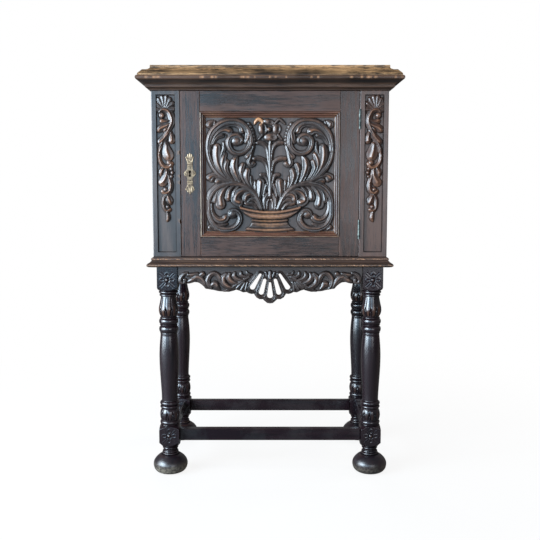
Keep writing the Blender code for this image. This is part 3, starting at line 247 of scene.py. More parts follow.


# axis is the way the grain runs; carved pieces carry crest, hollow (dark wax with painted shade) and chip
# values on their vertices
def makeOak(name, axis, carved=False, dusty=False, paintedShadeAt=None, **changes):
    look = {**oakFinish, **changes}
    material, tree, shader, place = newMaterial(name)
    link = tree.links.new
    along = addNode(tree, "ShaderNodeMapping")
    along.inputs["Scale"].default_value = [look["squash"] if letter == axis else 1.0 for letter in "XYZ"]
    link(place, along.inputs["Vector"])
    grain = useGroup(tree, oakGrain, {"Figure Scale": look["figure"]})
    link(along.outputs[0], grain.inputs["Vector"])
    worn = useGroup(tree, patina, {"Wear": look["wear"]})
    link(place, worn.inputs["Vector"])
    figure = rangeNode(tree, grain.outputs["Figure"], look["contrast"], 1 - look["contrast"])
    tone = mixColour(tree, figure, look["dark"], look["brown"])
    poreDark = mathNode(tree, "MULTIPLY", grain.outputs["Pores"], look["poreShare"])
    tone = mixColour(tree, poreDark, tone, look["pore"])
    if look["dashes"]:
        short = addNode(tree, "ShaderNodeMapping")
        short.inputs["Scale"].default_value = [0.13 if letter == axis else 1.0 for letter in "XYZ"]
        link(place, short.inputs["Vector"])
        dashes = addNode(tree, "ShaderNodeTexNoise", {"Scale": 300.0, "Detail": 3.0, "Roughness": 0.6})
        link(short.outputs[0], dashes.inputs["Vector"])
        dashed = mathNode(tree, "MULTIPLY", rangeNode(tree, dashes.outputs[0], 0.47, 0.60), look["dashes"])
        tone = mixColour(tree, dashed, tone, look["pore"])
    rough = rangeNode(tree, figure, 0.0, 1.0, look["roughLow"], look["roughHigh"])
    if carved:
        crest = readAttribute(tree, "crest")
        grimeAndShade = readAttribute(tree, "grimeAndShade")
        link(crest, worn.inputs["Crest"])
        tone = mixColour(tree, worn.outputs["Worn"], tone, look["worn"])
        # painted shade with dark wax: recesses are darkened towards the hollow colour
        tone = mixColour(tree, mathNode(tree, "MULTIPLY", grimeAndShade, look["grimeAndShadeShare"]), tone, look["grimeAndShade"])
        bare = readAttribute(tree, "chip")
        if look["flecks"]:
            fine = addNode(tree, "ShaderNodeTexNoise", {"Scale": look["flecks"], "Detail": 2.0})
            link(place, fine.inputs["Vector"])
            bare = mathNode(tree, "MULTIPLY", bare, rangeNode(tree, fine.outputs[0], 0.44, 0.58))
        tone = mixColour(tree, bare, tone, look["chip"])
        rough = mathNode(tree, "ADD", rough, mathNode(tree, "MULTIPLY", grimeAndShade, look["hollowRough"]))
        polish = mathNode(tree, "MULTIPLY", mathNode(tree, "SUBTRACT", 1.0, grimeAndShade), look["coat"])
        link(polish, shader.inputs["Coat Weight"])
    else:
        rub = useGroup(tree, edgeRub)
        link(place, rub.inputs["Vector"])
        link(rub.outputs["Rubbed"], worn.inputs["Crest"])
        rubbed = mathNode(tree, "MULTIPLY", rub.outputs["Rubbed"], look["edgeShare"])
        tone = mixColour(tree, rubbed, tone, look["worn"])
        waxed = rangeNode(tree, worn.outputs["Cloud"], 0.0, 1.0, 1.5 * look["coat"], 0.4 * look["coat"])
        link(waxed, shader.inputs["Coat Weight"])
    cloudy = mathNode(tree, "MULTIPLY", worn.outputs["Cloud"], look["cloud"])
    tone = mixColour(tree, cloudy, tone, look["brown"])
    if dusty:
        spot = addNode(tree, "ShaderNodeSeparateXYZ")
        link(place, spot.inputs[0])
        specks = addNode(tree, "ShaderNodeTexNoise", {"Scale": 130.0, "Detail": 4.0, "Roughness": 0.7})
        link(place, specks.inputs["Vector"])
        lowDown = rangeNode(tree, spot.outputs[2], *look["dustReach"])
        lowDown = mathNode(tree, "MULTIPLY", lowDown, look["dustShare"])
        across = rangeNode(tree, spot.outputs[0], *look["dustAcross"])
        lowDown = mathNode(tree, "MULTIPLY", lowDown, across)
        speckled = rangeNode(tree, specks.outputs[0], 0.38, 0.62, 0.15, 1.0)
        lowDown = mathNode(tree, "MULTIPLY", lowDown, speckled)
        tone = mixColour(tree, lowDown, tone, look["dust"])
        rough = mathNode(tree, "ADD", rough, mathNode(tree, "MULTIPLY", lowDown, look["dustRough"]))
    # painted shade round the keyhole: darkened, rougher and without coat near the given point
    if paintedShadeAt:
        away = addNode(tree, "ShaderNodeVectorMath", operation="DISTANCE")
        link(place, away.inputs[0])
        away.inputs[1].default_value = paintedShadeAt
        paintedShade = rangeNode(tree, away.outputs["Value"], *look["paintedShadeReach"])
        tone = mixColour(tree, paintedShade, tone, look["paintedShade"])
        rough = mathNode(tree, "ADD", rough, paintedShade)
        unshaded = mathNode(tree, "SUBTRACT", 1.0, paintedShade)
        link(mathNode(tree, "MULTIPLY", unshaded, look["coat"]), shader.inputs["Coat Weight"])
    link(tone, shader.inputs["Base Color"])
    link(rough, shader.inputs["Roughness"])
    figured = mathNode(tree, "MULTIPLY", grain.outputs["Figure"], 0.35)
    relief = mathNode(tree, "SUBTRACT", figured, grain.outputs["Pores"])
    bump = addNode(tree, "ShaderNodeBump", {"Strength": look["bump"], "Distance": 0.0005})
    link(relief, bump.inputs["Height"])
    link(bump.outputs[0], shader.inputs["Normal"])
    shader.inputs["Specular IOR Level"].default_value = look["shine"]
    shader.inputs["Coat Weight"].default_value = look["coat"]
    shader.inputs["Coat Roughness"].default_value = look["coatRoughness"]
    shader.inputs["Coat IOR"].default_value = look["coatIor"]
    return material


boardOak = {  # rubbed reddish frame of the door and the cabinet's sides
    "dark": (0.0085, 0.0054, 0.0048),
    "brown": (0.080, 0.0385, 0.0270),
    "coat": 0.20,
    "coatRoughness": 0.16,
    "roughLow": 0.21,
    "roughHigh": 0.44,
    "figure": 26.0,
    "contrast": 0.12,
    "cloud": 0.26,
}
sideOak = {  # duller and evener
    **boardOak,
    "roughLow": 0.36,
    "roughHigh": 0.46,
    "contrast": 0.04,
    "coat": 0.06,
}
standOak = {  # nearly black, and glossier than the cabinet
    "dark": (0.0024, 0.0022, 0.0050),
    "brown": (0.0150, 0.0064, 0.0088),
    "pore": (0.0016, 0.0013, 0.0016),
    "cloud": 0.45,
    "worn": (0.095, 0.040, 0.021),
    "coat": 1.0,
    "coatRoughness": 0.20,
    "coatIor": 1.70,
    "shine": 0.10,
    "roughLow": 0.28,
    "roughHigh": 0.38,
    "bump": 0.05,
}
corniceOak = {
    "dark": (0.022, 0.0125, 0.0090),
    "brown": (0.105, 0.054, 0.033),
    "worn": (0.32, 0.175, 0.076),
    "coat": 0.15,
    "wear": 0.55,
}
goldenOak = {
    "dark": (0.020, 0.0120, 0.0080),
    "brown": (0.470, 0.262, 0.118),
    "figure": 24.0,
    "dashes": 0.85,
    "pore": (0.012, 0.0075, 0.0052),
    "worn": (0.34, 0.20, 0.095),
    "wear": 0.8,
    "coat": 0.10,
    "roughLow": 0.34,
    "roughHigh": 0.50,
}
torusOak = {
    "dark": (0.017, 0.0100, 0.0080),
    "brown": (0.060, 0.031, 0.0215),
    "worn": (0.30, 0.155, 0.075),
    "chip": (0.70, 0.36, 0.19),
    "flecks": 330.0,
    "wear": 0.62,
}
panelOak = {  # mouldings round the carved panel
    "dark": (0.036, 0.0140, 0.0095),
    "brown": (0.150, 0.058, 0.034),
    "worn": (0.40, 0.22, 0.11),
    "chip": (0.60, 0.47, 0.31),
    "wear": 0.60,
    "coat": 0.25,
}
uprightOak = {"dark": (0.021, 0.0105, 0.0080), "brown": (0.080, 0.036, 0.0245)}  # its two sides are darker
rawOak = {
    "dark": (0.10, 0.060, 0.034),
    "brown": (0.21, 0.135, 0.078),
    "pore": (0.045, 0.027, 0.016),
    "worn": (0.30, 0.20, 0.12),
    "roughLow": 0.62,
    "roughHigh": 0.78,
    "coat": 0.0,
    "edgeShare": 0.2,
}
# painted shade: a darker, redder copy of the carved finish, standing in for the weaker bluish sheen that
# falls on the right pilaster
shadedRedOak = {"dark": (0.0130, 0.0078, 0.0062), "brown": (0.100, 0.046, 0.030), "cloud": 0.4}  # right pilaster
apronOak = {"dark": (0.0135, 0.0095, 0.0088), "brown": (0.064, 0.038, 0.030)}
boardOakUpright = makeOak("boardOakUpright", "Z", **boardOak)
boardOakAcross = makeOak("boardOakAcross", "X", **boardOak)
sideOakUpright = makeOak("sideOakUpright", "Z", **sideOak)
# the lock stile takes painted shade round its keyhole
lockStileOak = makeOak("lockStileOak", "Z", paintedShadeAt=keyholeAt, **boardOak)
standOakAcross = makeOak("standOakAcross", "X", **standOak)
standOakDeep = makeOak("standOakDeep", "Y", **standOak)
turnedOak = makeOak("turnedOak", "Z", carved=True, **standOak)
footOak = makeOak("footOak", "Z", carved=True, dusty=True, **{**standOak, "coatRoughness": 0.32})
carvedOakUpright = makeOak("carvedOakUpright", "Z", carved=True)
carvedOakShadedRed = makeOak("carvedOakShadedRed", "Z", carved=True, **shadedRedOak)
carvedOakAcross = makeOak("carvedOakAcross", "X", carved=True, **apronOak)
corniceOakAcross = makeOak("corniceOakAcross", "X", carved=True, **corniceOak)
corniceOakDeep = makeOak("corniceOakDeep", "Y", carved=True, **corniceOak)
goldenOakAcross = makeOak("goldenOakAcross", "X", carved=True, **goldenOak)
panelOakUpright = makeOak("panelOakUpright", "Z", carved=True, **{**panelOak, **uprightOak})
panelOakAcross = makeOak("panelOakAcross", "X", carved=True, **panelOak)
torusOakAcross = makeOak("torusOakAcross", "X", carved=True, **torusOak)
torusOakDeep = makeOak("torusOakDeep", "Y", carved=True, **torusOak)
rawOakUpright = makeOak("rawOakUpright", "Z", **rawOak)
rawOakAcross = makeOak("rawOakAcross", "X", **rawOak)
rawOakDeep = makeOak("rawOakDeep", "Y", **rawOak)


metalFinish = {
    "oldBrass": {
        "bright": (0.59, 0.44, 0.28), "dull": (0.135, 0.096, 0.066), "rough": (0.50, 0.66), "scale": 90.0,
        "metal": 0.55,
    },
    "darkIron": {
        "bright": (0.06, 0.055, 0.05), "dull": (0.022, 0.019, 0.017), "rough": (0.45, 0.65), "scale": 120.0,
    },
    "greenBronze": {
        "bright": (0.20, 0.225, 0.205), "dull": (0.060, 0.074, 0.070), "rough": (0.42, 0.66), "scale": 70.0,
    },
    "lockSteel": {
        "bright": (0.30, 0.29, 0.28), "dull": (0.11, 0.09, 0.075), "rough": (0.42, 0.68), "scale": 45.0,
    },
}


def makeMetal(name, carved=False):
    look = metalFinish[name]
    material, tree, shader, place = newMaterial(name)
    link = tree.links.new
    worn = useGroup(tree, patina, {"Patch Scale": look["scale"], "Wear": 0.5})
    link(place, worn.inputs["Vector"])
    tone = mixColour(tree, worn.outputs["Cloud"], look["dull"], look["bright"])
    if carved:
        link(readAttribute(tree, "crest"), worn.inputs["Crest"])
        tone = mixColour(tree, worn.outputs["Worn"], tone, look["bright"])
        tone = mixColour(tree, readAttribute(tree, "grimeAndShade"), tone, look["dull"])
    link(tone, shader.inputs["Base Color"])
    smooth, dull = look["rough"]
    link(rangeNode(tree, worn.outputs["Cloud"], 0.0, 1.0, dull, smooth), shader.inputs["Roughness"])
    shader.inputs["Metallic"].default_value = look.get("metal", 1.0)
    bump = addNode(tree, "ShaderNodeBump", {"Strength": 0.2, "Distance": 0.0003})
    link(worn.outputs["Cloud"], bump.inputs["Height"])
    link(bump.outputs[0], shader.inputs["Normal"])
    return material


oldBrass = makeMetal("oldBrass", carved=True)
greenBronze = makeMetal("greenBronze")
lockSteel = makeMetal("lockSteel")
darkIron = makeMetal("darkIron")
print("finishes ready")


# carving: heights in millimetres on a regular grid, laid stroke by stroke

def smoothLine(points, steps=5):
    ends = [points[0], *points, points[-1]]
    line = []
    for before, start, end, after in zip(ends, ends[1:], ends[2:], ends[3:]):
        for count in range(steps):
            t = count / steps
            line.append(tuple(
                0.5 * (2 * b + (c - a) * t + (2 * a - 5 * b + 4 * c - d) * t * t
                       + (3 * b - a - 3 * c + d) * t ** 3)
                for a, b, c, d in zip(before, start, end, after)
            ))
    return [*line, points[-1]]


def newRelief(low, high, cell, wander=0.0):
    countX = int(round((high[0] - low[0]) / cell))
    countZ = int(round((high[1] - low[1]) / cell))
    xs = np.linspace(low[0], high[0], countX + 1)
    zs = np.linspace(low[1], high[1], countZ + 1)
    gridX, gridZ = np.meshgrid(xs, zs)
    bentX = gridX + wander * np.sin(gridZ / 29.0 + gridX / 83.0)  # a hand never repeats itself
    bentZ = gridZ + wander * np.sin(gridX / 37.0 + 1.3)
    return {
        "xs": xs, "zs": zs, "x": bentX, "z": bentZ, "wander": wander,
        "height": np.zeros_like(gridX), "tips": np.zeros_like(gridX),
    }


# channel sinks a hollow along one side, the left of the run when positive; tips rubs the far end
def layStroke(
    relief, points, top=11.5, wall=0.30, flutes=0, rise=0.85, base=2.8, channel=0.0, ridge=0.3, tips=0.0
):
    line = smoothLine(points) if len(points) > 1 else [points[0], points[0]]
    xs, zs = relief["xs"], relief["zs"]
    for count, ((x0, z0, w0), (x1, z1, w1)) in enumerate(zip(line, line[1:])):
        reach = max(w0, w1) / 2 + 2 * relief["wander"] + 0.5
        columns = slice(*np.searchsorted(xs, (min(x0, x1) - reach, max(x0, x1) + reach)))
        rows = slice(*np.searchsorted(zs, (min(z0, z1) - reach, max(z0, z1) + reach)))
        x, z = relief["x"][rows, columns], relief["z"][rows, columns]
        runX, runZ = x1 - x0, z1 - z0
        t = np.clip(((x - x0) * runX + (z - z0) * runZ) / max(runX * runX + runZ * runZ, 1e-9), 0, 1)
        radius = np.maximum((w0 + (w1 - w0) * t) / 2, 0.3)
        off = np.hypot(x - x0 - t * runX, z - z0 - t * runZ) / radius
        crown = np.minimum(base + rise * radius, top)
        rounded = (1 - ridge) * np.sqrt(np.clip(1 - off * off, 0, 1)) + ridge * np.clip(1 - off, 0, 1)
        shape = crown * (wall + (1 - wall) * rounded)
        if channel:
            across = np.copysign(off, ((z - z0) * runX - (x - x0) * runZ) * channel)
            shape = shape * (1 - abs(channel) * np.exp(-(((across - 0.28) / 0.34) ** 2)))
        if flutes:
            shape = shape + 0.06 * crown * np.cos(off * math.pi * flutes)
        patch = relief["height"][rows, columns]
        higher = (off < 1) & (shape > patch)
        patch[higher] = shape[higher]
        relief["tips"][rows, columns][higher] = tips * ((count + t[higher]) / len(line)) ** 2


def blurred(values, cells):
    for axis in (0, 1):
        for _ in range(2):
            margins = [(cells + 1, cells) if a == axis else (0, 0) for a in (0, 1)]
            padded = np.pad(values, margins, mode="edge")
            total = np.cumsum(padded, axis=axis)
            span = 2 * cells + 1
            if axis == 0:
                values = (total[span:] - total[:-span]) / span
            else:
                values = (total[:, span:] - total[:, :-span]) / span
    return values


# raised parts are rubbed; hollows beside the strokes and the ground between them are dull and darkened, dark
# wax with painted shade
def crestAndGrimeShade(relief):
    cell = relief["xs"][1] - relief["xs"][0]
    height = relief["height"] * relief.get("boost", 1.0)
    wide = blurred(height, max(1, int(round(4.0 / cell))))
    near = blurred(height, 1)
    close = blurred(height, max(1, int(round(2.0 / cell))))
    ridges = np.clip((near - wide) / 2.2, 0, 1)
    crest = np.clip((near / max(height.max(), 1e-6) - 0.62) / 0.38, 0, 1) * 0.75 + 0.35 * ridges
    # painted shade: cells lower than their surroundings, beside the raised strokes, are darkened
    sunk = np.clip((close - height) / 1.4, 0, 1)
    ground = np.clip(1 - near / 1.2, 0, 1) * relief.get("dull", 0.12)
    grimeAndShade = np.maximum(sunk, ground)
    # painted shadow: the outermost cells are darkened fully, a shadow line inside the sunk border
    dirt = relief.get("dirtCells", 0)
    if dirt:
        grimeAndShade[:dirt], grimeAndShade[-dirt:], grimeAndShade[:, :dirt], grimeAndShade[:, -dirt:] = 1, 1, 1, 1
    return crest + relief["tips"] + relief.get("rub", 0.0), grimeAndShade


def facingGrid(relief, middle, groundY):
    bm = bmesh.new()
    layers = [bm.verts.layers.float.new(name) for name in ("crest", "grimeAndShade", "chip")]
    xs, zs = relief["xs"], relief["zs"]
    bmesh.ops.create_grid(bm, x_segments=len(xs) - 1, y_segments=len(zs) - 1, size=0.5)
    crest, grimeAndShade = crestAndGrimeShade(relief)
    chip = relief.get("chip", np.zeros_like(crest))
    for vertex in bm.verts:
        column = int(round((vertex.co.x + 0.5) * (len(xs) - 1)))
        row = int(round((vertex.co.y + 0.5) * (len(zs) - 1)))
        raised = relief["height"][row, column] * mm
        vertex.co = (middle[0] + xs[column] * mm, groundY - raised, middle[1] + zs[row] * mm)
        for layer, values in zip(layers, (crest, grimeAndShade, chip)):
            vertex[layer] = values[row, column]
    return bm


# pulls the open border of a sheet on to a new place, one ring at a time
def growBorder(bm, move, crest=0.0):
    worn, grimeAndShade, chip = (bm.verts.layers.float[name] for name in ("crest", "grimeAndShade", "chip"))
    rim = [edge for edge in bm.edges if edge.is_boundary]
    grown = bmesh.ops.extrude_edge_only(bm, edges=rim)["geom"]
    for item in grown:
        if isinstance(item, bmesh.types.BMVert):
            item.co = move(item.co)
            item[worn], item[grimeAndShade], item[chip] = crest, 0.0, 0.0


def closeBorder(bm):
    rim = [edge for edge in bm.edges if edge.is_boundary]
    bmesh.ops.holes_fill(bm, edges=rim, sides=0)
    bmesh.ops.recalc_face_normals(bm, faces=bm.faces)
    if bm.calc_volume(signed=True) < 0:
        bmesh.ops.reverse_faces(bm, faces=bm.faces)


def finishPiece(bm, name, material, body, replaced, sharp=48):
    mesh = bpy.data.meshes.new(name)
    bm.to_mesh(mesh)
    bm.free()
    mesh.shade_smooth()
    mesh.set_sharp_from_angle(angle=math.radians(sharp))
    mesh.materials.append(material)
    piece = bpy.data.objects.new(name, mesh)
    scene.collection.objects.link(piece)
    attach(piece, body)
    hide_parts(*replaced)
    return piece


# carved door panel: (out from the middle, up from zeroZ, width), mirrored to both sides
doorPanel = {
    "zeroZ": 0.9635,
    "cell": 1.3,
    "ground": 10.5,
    "moulding": 0.018,
    "wander": 0.7,
    "rims": [
        [(115, -20, 8), (142.5, -7, 11), (165, 11.5, 13), (182.5, 36.5, 12), (192, 66.5, 11), (193, 96.5, 12),
         (186, 126.5, 14), (170, 149, 15), (145, 165, 15), (117.5, 169, 15), (92.5, 164, 15), (74, 148, 17),
         (62.5, 124, 17), (61, 99, 14), (74, 78, 12), (95, 69, 12), (115, 74, 13), (126, 89, 14),
         (129, 106.5, 15), (119, 121.5, 15), (102.5, 124, 14), (90, 114, 13), (91, 104, 12), (100, 100, 10)],
        [(65, -43.5, 8), (85, -30, 11), (110, -25, 12), (135, -26, 12), (160, -33.5, 13), (179, -51, 13),
         (190, -73.5, 12), (192, -98.5, 12), (190, -126, 13), (177.5, -151, 14), (157.5, -164, 14),
         (132.5, -167, 13), (110, -160, 14), (96, -143.5, 14), (95, -125, 13), (105, -111, 13),
         (119, -111, 14), (124, -121, 14), (116, -127, 10)],
    ],
    "lobes": [
        [(187.5, 79, 6), (184, 106.5, 8), (172.5, 131.5, 9), (152.5, 150, 10), (127.5, 158, 10),
         (105, 157, 10), (91, 149, 12), (87, 139, 13)],
        [(182.5, 96.5, 6), (170, 121.5, 9), (152.5, 136.5, 12), (137.5, 140, 15), (127.5, 136.5, 18)],
        [(177.5, 99, 6), (165, 118, 8), (147.5, 124, 9)],
        [(75, 149, 10), (67.5, 131.5, 14), (69, 116.5, 14), (74, 106.5, 10)],
        [(52.5, 89, 9), (60, 71.5, 11), (70, 60, 12)],
        [(55, 79, 8), (61, 59, 10), (65, 41.5, 11), (59, 33, 10), (51, 38, 11)],
        [(132.5, -13.5, 6), (157.5, 11.5, 9), (172.5, 46.5, 8), (176, 81.5, 6)],
        [(125, -16, 6), (145, 4, 11), (161, 34, 16), (166, 64, 19), (164, 89, 16)],
        [(154, 41.5, 6), (152.5, 61.5, 8), (144, 81.5, 9), (144, 103, 6)],
        [(122.5, -16, 5), (140, 6.5, 9), (149.5, 31.5, 13), (146, 51.5, 14), (139, 66.5, 9)],
        [(112.5, -18.5, 5), (130, 1.5, 9), (140, 24, 13), (135, 44, 11)],
        [(102.5, -21, 5), (116, 4, 7), (122.5, 26.5, 8)],
        [(92.5, -23.5, 6), (105, 1.5, 12), (112.5, 26.5, 17), (110, 46.5, 15), (101, 59.5, 6)],
        [(75, -28.5, 5), (87.5, -3.5, 9), (90, 19, 13), (84, 34, 11)],
        [(57.5, -38.5, 5), (69, -18.5, 10), (74, 1.5, 14), (70, 16.5, 12)],
        [(50, -41, 4), (59, -23.5, 7), (60, -3.5, 7)],
        [(132.5, -18.5, 6), (157.5, -3.5, 10), (177.5, 2.5, 12), (189, -3.5, 15)],
        [(140, -20, 5), (152.5, -16, 9), (164, -16, 13)],
        [(177, -3, 8), (182.5, -12, 10)],
        [(137.5, -21, 5), (165, -28.5, 8), (187.5, -48.5, 8), (195, -68.5, 6)],
        [(182.5, -76, 6), (184, -101, 9), (177.5, -123.5, 12), (162.5, -137, 14), (147.5, -137, 15),
         (139, -131, 16)],
        [(177.5, -146, 6), (160, -155, 9), (134, -150, 5)],
        [(127.5, -27, 7), (146, -43.5, 13), (156, -66, 18), (154, -88.5, 22)],
        [(155, -37, 6), (167.5, -53.5, 9), (172, -76, 12)],
        [(112.5, -30, 5), (127.5, -46, 11), (131, -68.5, 15)],
        [(97.5, -32, 5), (111, -48.5, 9), (115, -65, 10)],
        [(65, -48.5, 8), (87.5, -46, 14), (105, -58.5, 18), (109, -76, 18), (97.5, -83.5, 20)],
        [(42.5, -66, 8), (60, -56, 13), (74, -61, 14), (77.5, -72, 13)],
        [(30, -101, 6), (42.5, -78.5, 9), (57.5, -73.5, 10), (67.5, -78.5, 8)],
        [(40, -102, 6), (52.5, -88.5, 9), (67.5, -87, 9), (75, -85, 8)],
        [(34, -63.5, 10), (31, -41, 16), (29, -18.5, 17)],
        [(20, -63.5, 7), (17.5, -43.5, 9), (11, -28.5, 10)],
        [(45, -50, 5), (46, -34, 9), (48, -16, 6)],
        [(16, -101, 7), (17.5, -73.5, 10), (7.5, -56, 8)],
        [(8, -101, 5), (9, -85, 6), (4, -72, 5)],
        [(3, -40, 7), (8, -13, 8.5), (16, 2, 9), (28, 4, 8)],
        [(3, -6, 7), (9, 34, 9), (21, 50, 10), (36, 55, 10.5), (48, 54, 9)],
        [(3, 44, 7), (7.5, 82, 8.5), (16, 97, 9.5), (28, 103, 9.5), (38, 103, 8)],
        [(179, 168, 7), (189, 160, 14), (186, 152, 8)],
        [(172, 168, 5), (173, 158, 8)],
        [(181, -166, 6), (189, -160, 11)],
        [(172, -166, 6), (176, -158, 7)],
    ],
    "ribs": [[(25, -101, 9), (35, -76, 12), (52.5, -51, 12), (75, -33.5, 11), (100, -23.5, 10),
              (120, -18.5, 9)]],
    "beads": [(66.5, 160), (60.5, 151.5), (56, 142.5), (53, 133), (50.5, 122.5), (49.5, 112), (50, 101.5),
              (52.5, 91)],
    "fuller": {"lobes": 1.42, "ribs": 1.3, "rims": 1.3},  # the strokes are drawn thin
    "cuts": {
        "lobes": {"channel": 0.24, "ridge": 0.6, "flutes": 2, "tips": 0.35},
        "ribs": {"flutes": 3},
        "rims": {"base": 3.8, "channel": 0.34, "ridge": 0.45, "flutes": 3},
    },
    "balls": [(104, 108, 31), (117, -119, 27)],
    "stem": [(0, -60, 14), (0, -20, 13), (0, 40, 12), (0, 90, 11), (1, 112, 9), (3, 126, 8)],
    "petals": [  # middle, half width and height, lean in degrees, height, cup on the right
        (-23.5, 145.5, 13.5, 17.5, 4, 11.5, 0.75), (20.5, 145.5, 13.0, 15.0, -6, 11.0, 0.65),
        (-4, 167, 17.5, 8.4, -14, 10.0, 0.45), (2, 120.5, 21.5, 12.0, 3, 11.5, 0.40),
    ],
    "heart": (-4, 144, 15),
    "sepals": [[(-22, 164, 9), (-25, 170, 11), (-35, 175, 11), (-43.5, 170, 9), (-49, 160, 6)],
               [(10, 157, 8), (20, 168, 8), (29, 174.5, 9), (38, 170, 8), (47, 160.5, 5)],
               [(22, 131, 8), (29, 122, 8), (36, 114, 6)], [(-22, 131, 8), (-29, 122, 8), (-36, 113, 6)]],
    "chipSepal": (-38, 170, 20, 15),  # bare wood where the left tip has broken off
}


vase = {
    "lip": (-108.5, 14.5, 95, 2.0),  # height on the middle line, rise at the tip, half width, power
    "base": (-134.5, 34, 95, 4.0),
    "rim": 9.0,
    "widths": [(-174.5, 79), (-170, 77.5), (-166, 72), (-162, 67), (-158, 63), (-154, 60), (-150, 57.5),
               (-146, 56), (-143.5, 56), (-139, 58), (-135.5, 57)],
    "heights": [(-174.5, 5.5), (-172, 6.6), (-171, 8.6), (-168, 10.6), (-165, 9.4), (-163, 4.8),
                (-161.5, 6.4), (-156, 7.4), (-150, 9.6), (-146.5, 8.2), (-144.8, 2.8), (-143.5, 6.0),
                (-140, 10.4), (-137, 7.8), (-135.5, 3.0)],
    "sag": 5.0,  # the ring and the foot dip in the middle like the bowl
    "rub": 0.40,
    "bare": (42.0, 0.44),  # reach and share of the bare wood at its middle
}


def layVase(relief):
    spec = vase
    x, z = np.abs(relief["x"]), relief["z"]

    def sweep(middle, rise, half, power):
        return middle + rise * (np.minimum(x, half) / half) ** power

    lip, bottom = sweep(*spec["lip"]), sweep(*spec["base"])
    belly = np.sqrt(np.clip(1 - (x / (spec["lip"][2] + 3)) ** 2, 0, 1))
    across = (lip - z) / spec["rim"] * 2 - 1  # from the rim's upper edge to its lower one
    onRim = (np.abs(across) < 1) & (x < spec["lip"][2])
    laid = np.where(onRim, 5.0 + 6.5 * np.sqrt(np.clip(1 - across ** 2, 0, 1)), 0)
    share = np.clip((lip - spec["rim"] - z) / np.maximum(lip - spec["rim"] - bottom, 1), 0, 1)
    bowl = (z <= lip - spec["rim"]) & (z > bottom) & (x < spec["base"][2])
    swell = np.sin(np.pi * np.clip(0.04 + 0.86 * share, 0, 1)) ** 0.7
    laid = np.where(bowl, 2.6 + 8.4 * (0.35 + 0.65 * belly) * swell, laid)
    z = z - spec["sag"] * ((x / spec["widths"][0][1]) ** 2 - 0.15)
    half = np.interp(z, *zip(*spec["widths"]))
    turned = np.sqrt(np.clip(1 - (x / half) ** 2, 0, 1)) ** 0.5
    foot = np.interp(z, *zip(*spec["heights"])) * (0.45 + 0.55 * turned)
    onFoot = (z < spec["widths"][-1][0]) & (z > spec["widths"][0][0]) & (x < half) & (laid == 0)
    laid = np.where(onFoot, foot, laid)
    relief["height"] = np.where(laid > 0, laid, relief["height"])
    patchy = 0.6 + 0.4 * np.sin(x / 3.1 + z / 5.3) * np.sin(x / 7.7 - z / 2.9)
    middle = np.exp(-((x / spec["bare"][0]) ** 2)) * patchy
    relief["rub"] = np.where(laid > 5.5, spec["rub"], 0.14)
    relief["chip"] = np.where(laid > 7.0, spec["bare"][1] * middle, 0.0)


# a swelling petal, hollowed on one side
def layPetal(relief, x, z, halfWide, halfHigh, lean, top, cup):
    turn = math.radians(lean)
    offX, offZ = relief["x"] - x, relief["z"] - z
    across = (offX * math.cos(turn) + offZ * math.sin(turn)) / halfWide
    up = (offZ * math.cos(turn) - offX * math.sin(turn)) / halfHigh
    out = (np.abs(across) ** 2.6 + np.abs(up) ** 2.6) ** (1 / 2.6)
    swell = top * (0.35 + 0.65 * np.sqrt(np.clip(1 - out * out, 0, 1)))
    swell = swell - cup * top * np.exp(-(((across - 0.42) / 0.40) ** 2) - (up / 0.75) ** 2)
    relief["height"] = np.where(out < 1, np.maximum(swell, 2.0), relief["height"])


def carveDoorPanel():
    spec = doorPanel
    low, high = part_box("door_panel")
    edge = spec["moulding"] - 0.0012  # the carved field runs just under the mouldings
    half = (high[0] - edge) / mm
    bottom = (low[2] + edge - spec["zeroZ"]) / mm
    top = (high[2] - edge - spec["zeroZ"]) / mm
    relief = newRelief((-half, bottom), (half, top), spec["cell"], spec["wander"])
    for side in (-1, 1):
        for kind, settings in spec["cuts"].items():
            fuller = spec["fuller"][kind]
            turned = {**settings, "channel": settings.get("channel", 0.0) * side}
            for stroke in spec[kind]:
                layStroke(relief, [(side * out, up, width * fuller) for out, up, width in stroke], **turned)
        for out, up in spec["beads"]:
            layStroke(relief, [(side * out, up, 13)], top=7.0)
        for out, up, width in spec["balls"]:
            layStroke(relief, [(side * out, up, width)], top=11.0)
    layStroke(relief, spec["stem"], flutes=2)
    for sepal in spec["sepals"]:
        layStroke(relief, sepal, top=6.5)
    for petal in spec["petals"]:
        layPetal(relief, *petal)
    layStroke(relief, [spec["heart"]], top=11.0, base=7.0)
    layVase(relief)
    chipX, chipZ, chipWide, chipHigh = spec["chipSepal"]
    away = np.hypot((relief["x"] - chipX) / chipWide, (relief["z"] - chipZ) / chipHigh)
    broken = np.clip(1.4 - away * 1.4, 0, 1)
    relief["chip"] += np.where(relief["height"] > 2.0, np.clip(broken * 2, 0, 1), 0)
    groundY = frontY + spec["ground"] * mm
    bm = facingGrid(relief, (0.0, spec["zeroZ"]), groundY)
    wide = high[0] / (half * mm)
    middleZ, halfZ = spec["zeroZ"] + (bottom + top) / 2 * mm, (top - bottom) / 2 * mm
    tall = (high[2] - low[2]) / 2 / halfZ
    backPlane = high[1]
    growBorder(bm, lambda co: Vector((co.x * wide, groundY, middleZ + (co.z - middleZ) * tall)))
    growBorder(bm, lambda co: Vector((co.x, backPlane, co.z)))
    closeBorder(bm)
    finishPiece(bm, "doorPanelCarved", carvedOakUpright, "door", ["door_panel"])


carveDoorPanel()
print("door panel carved")


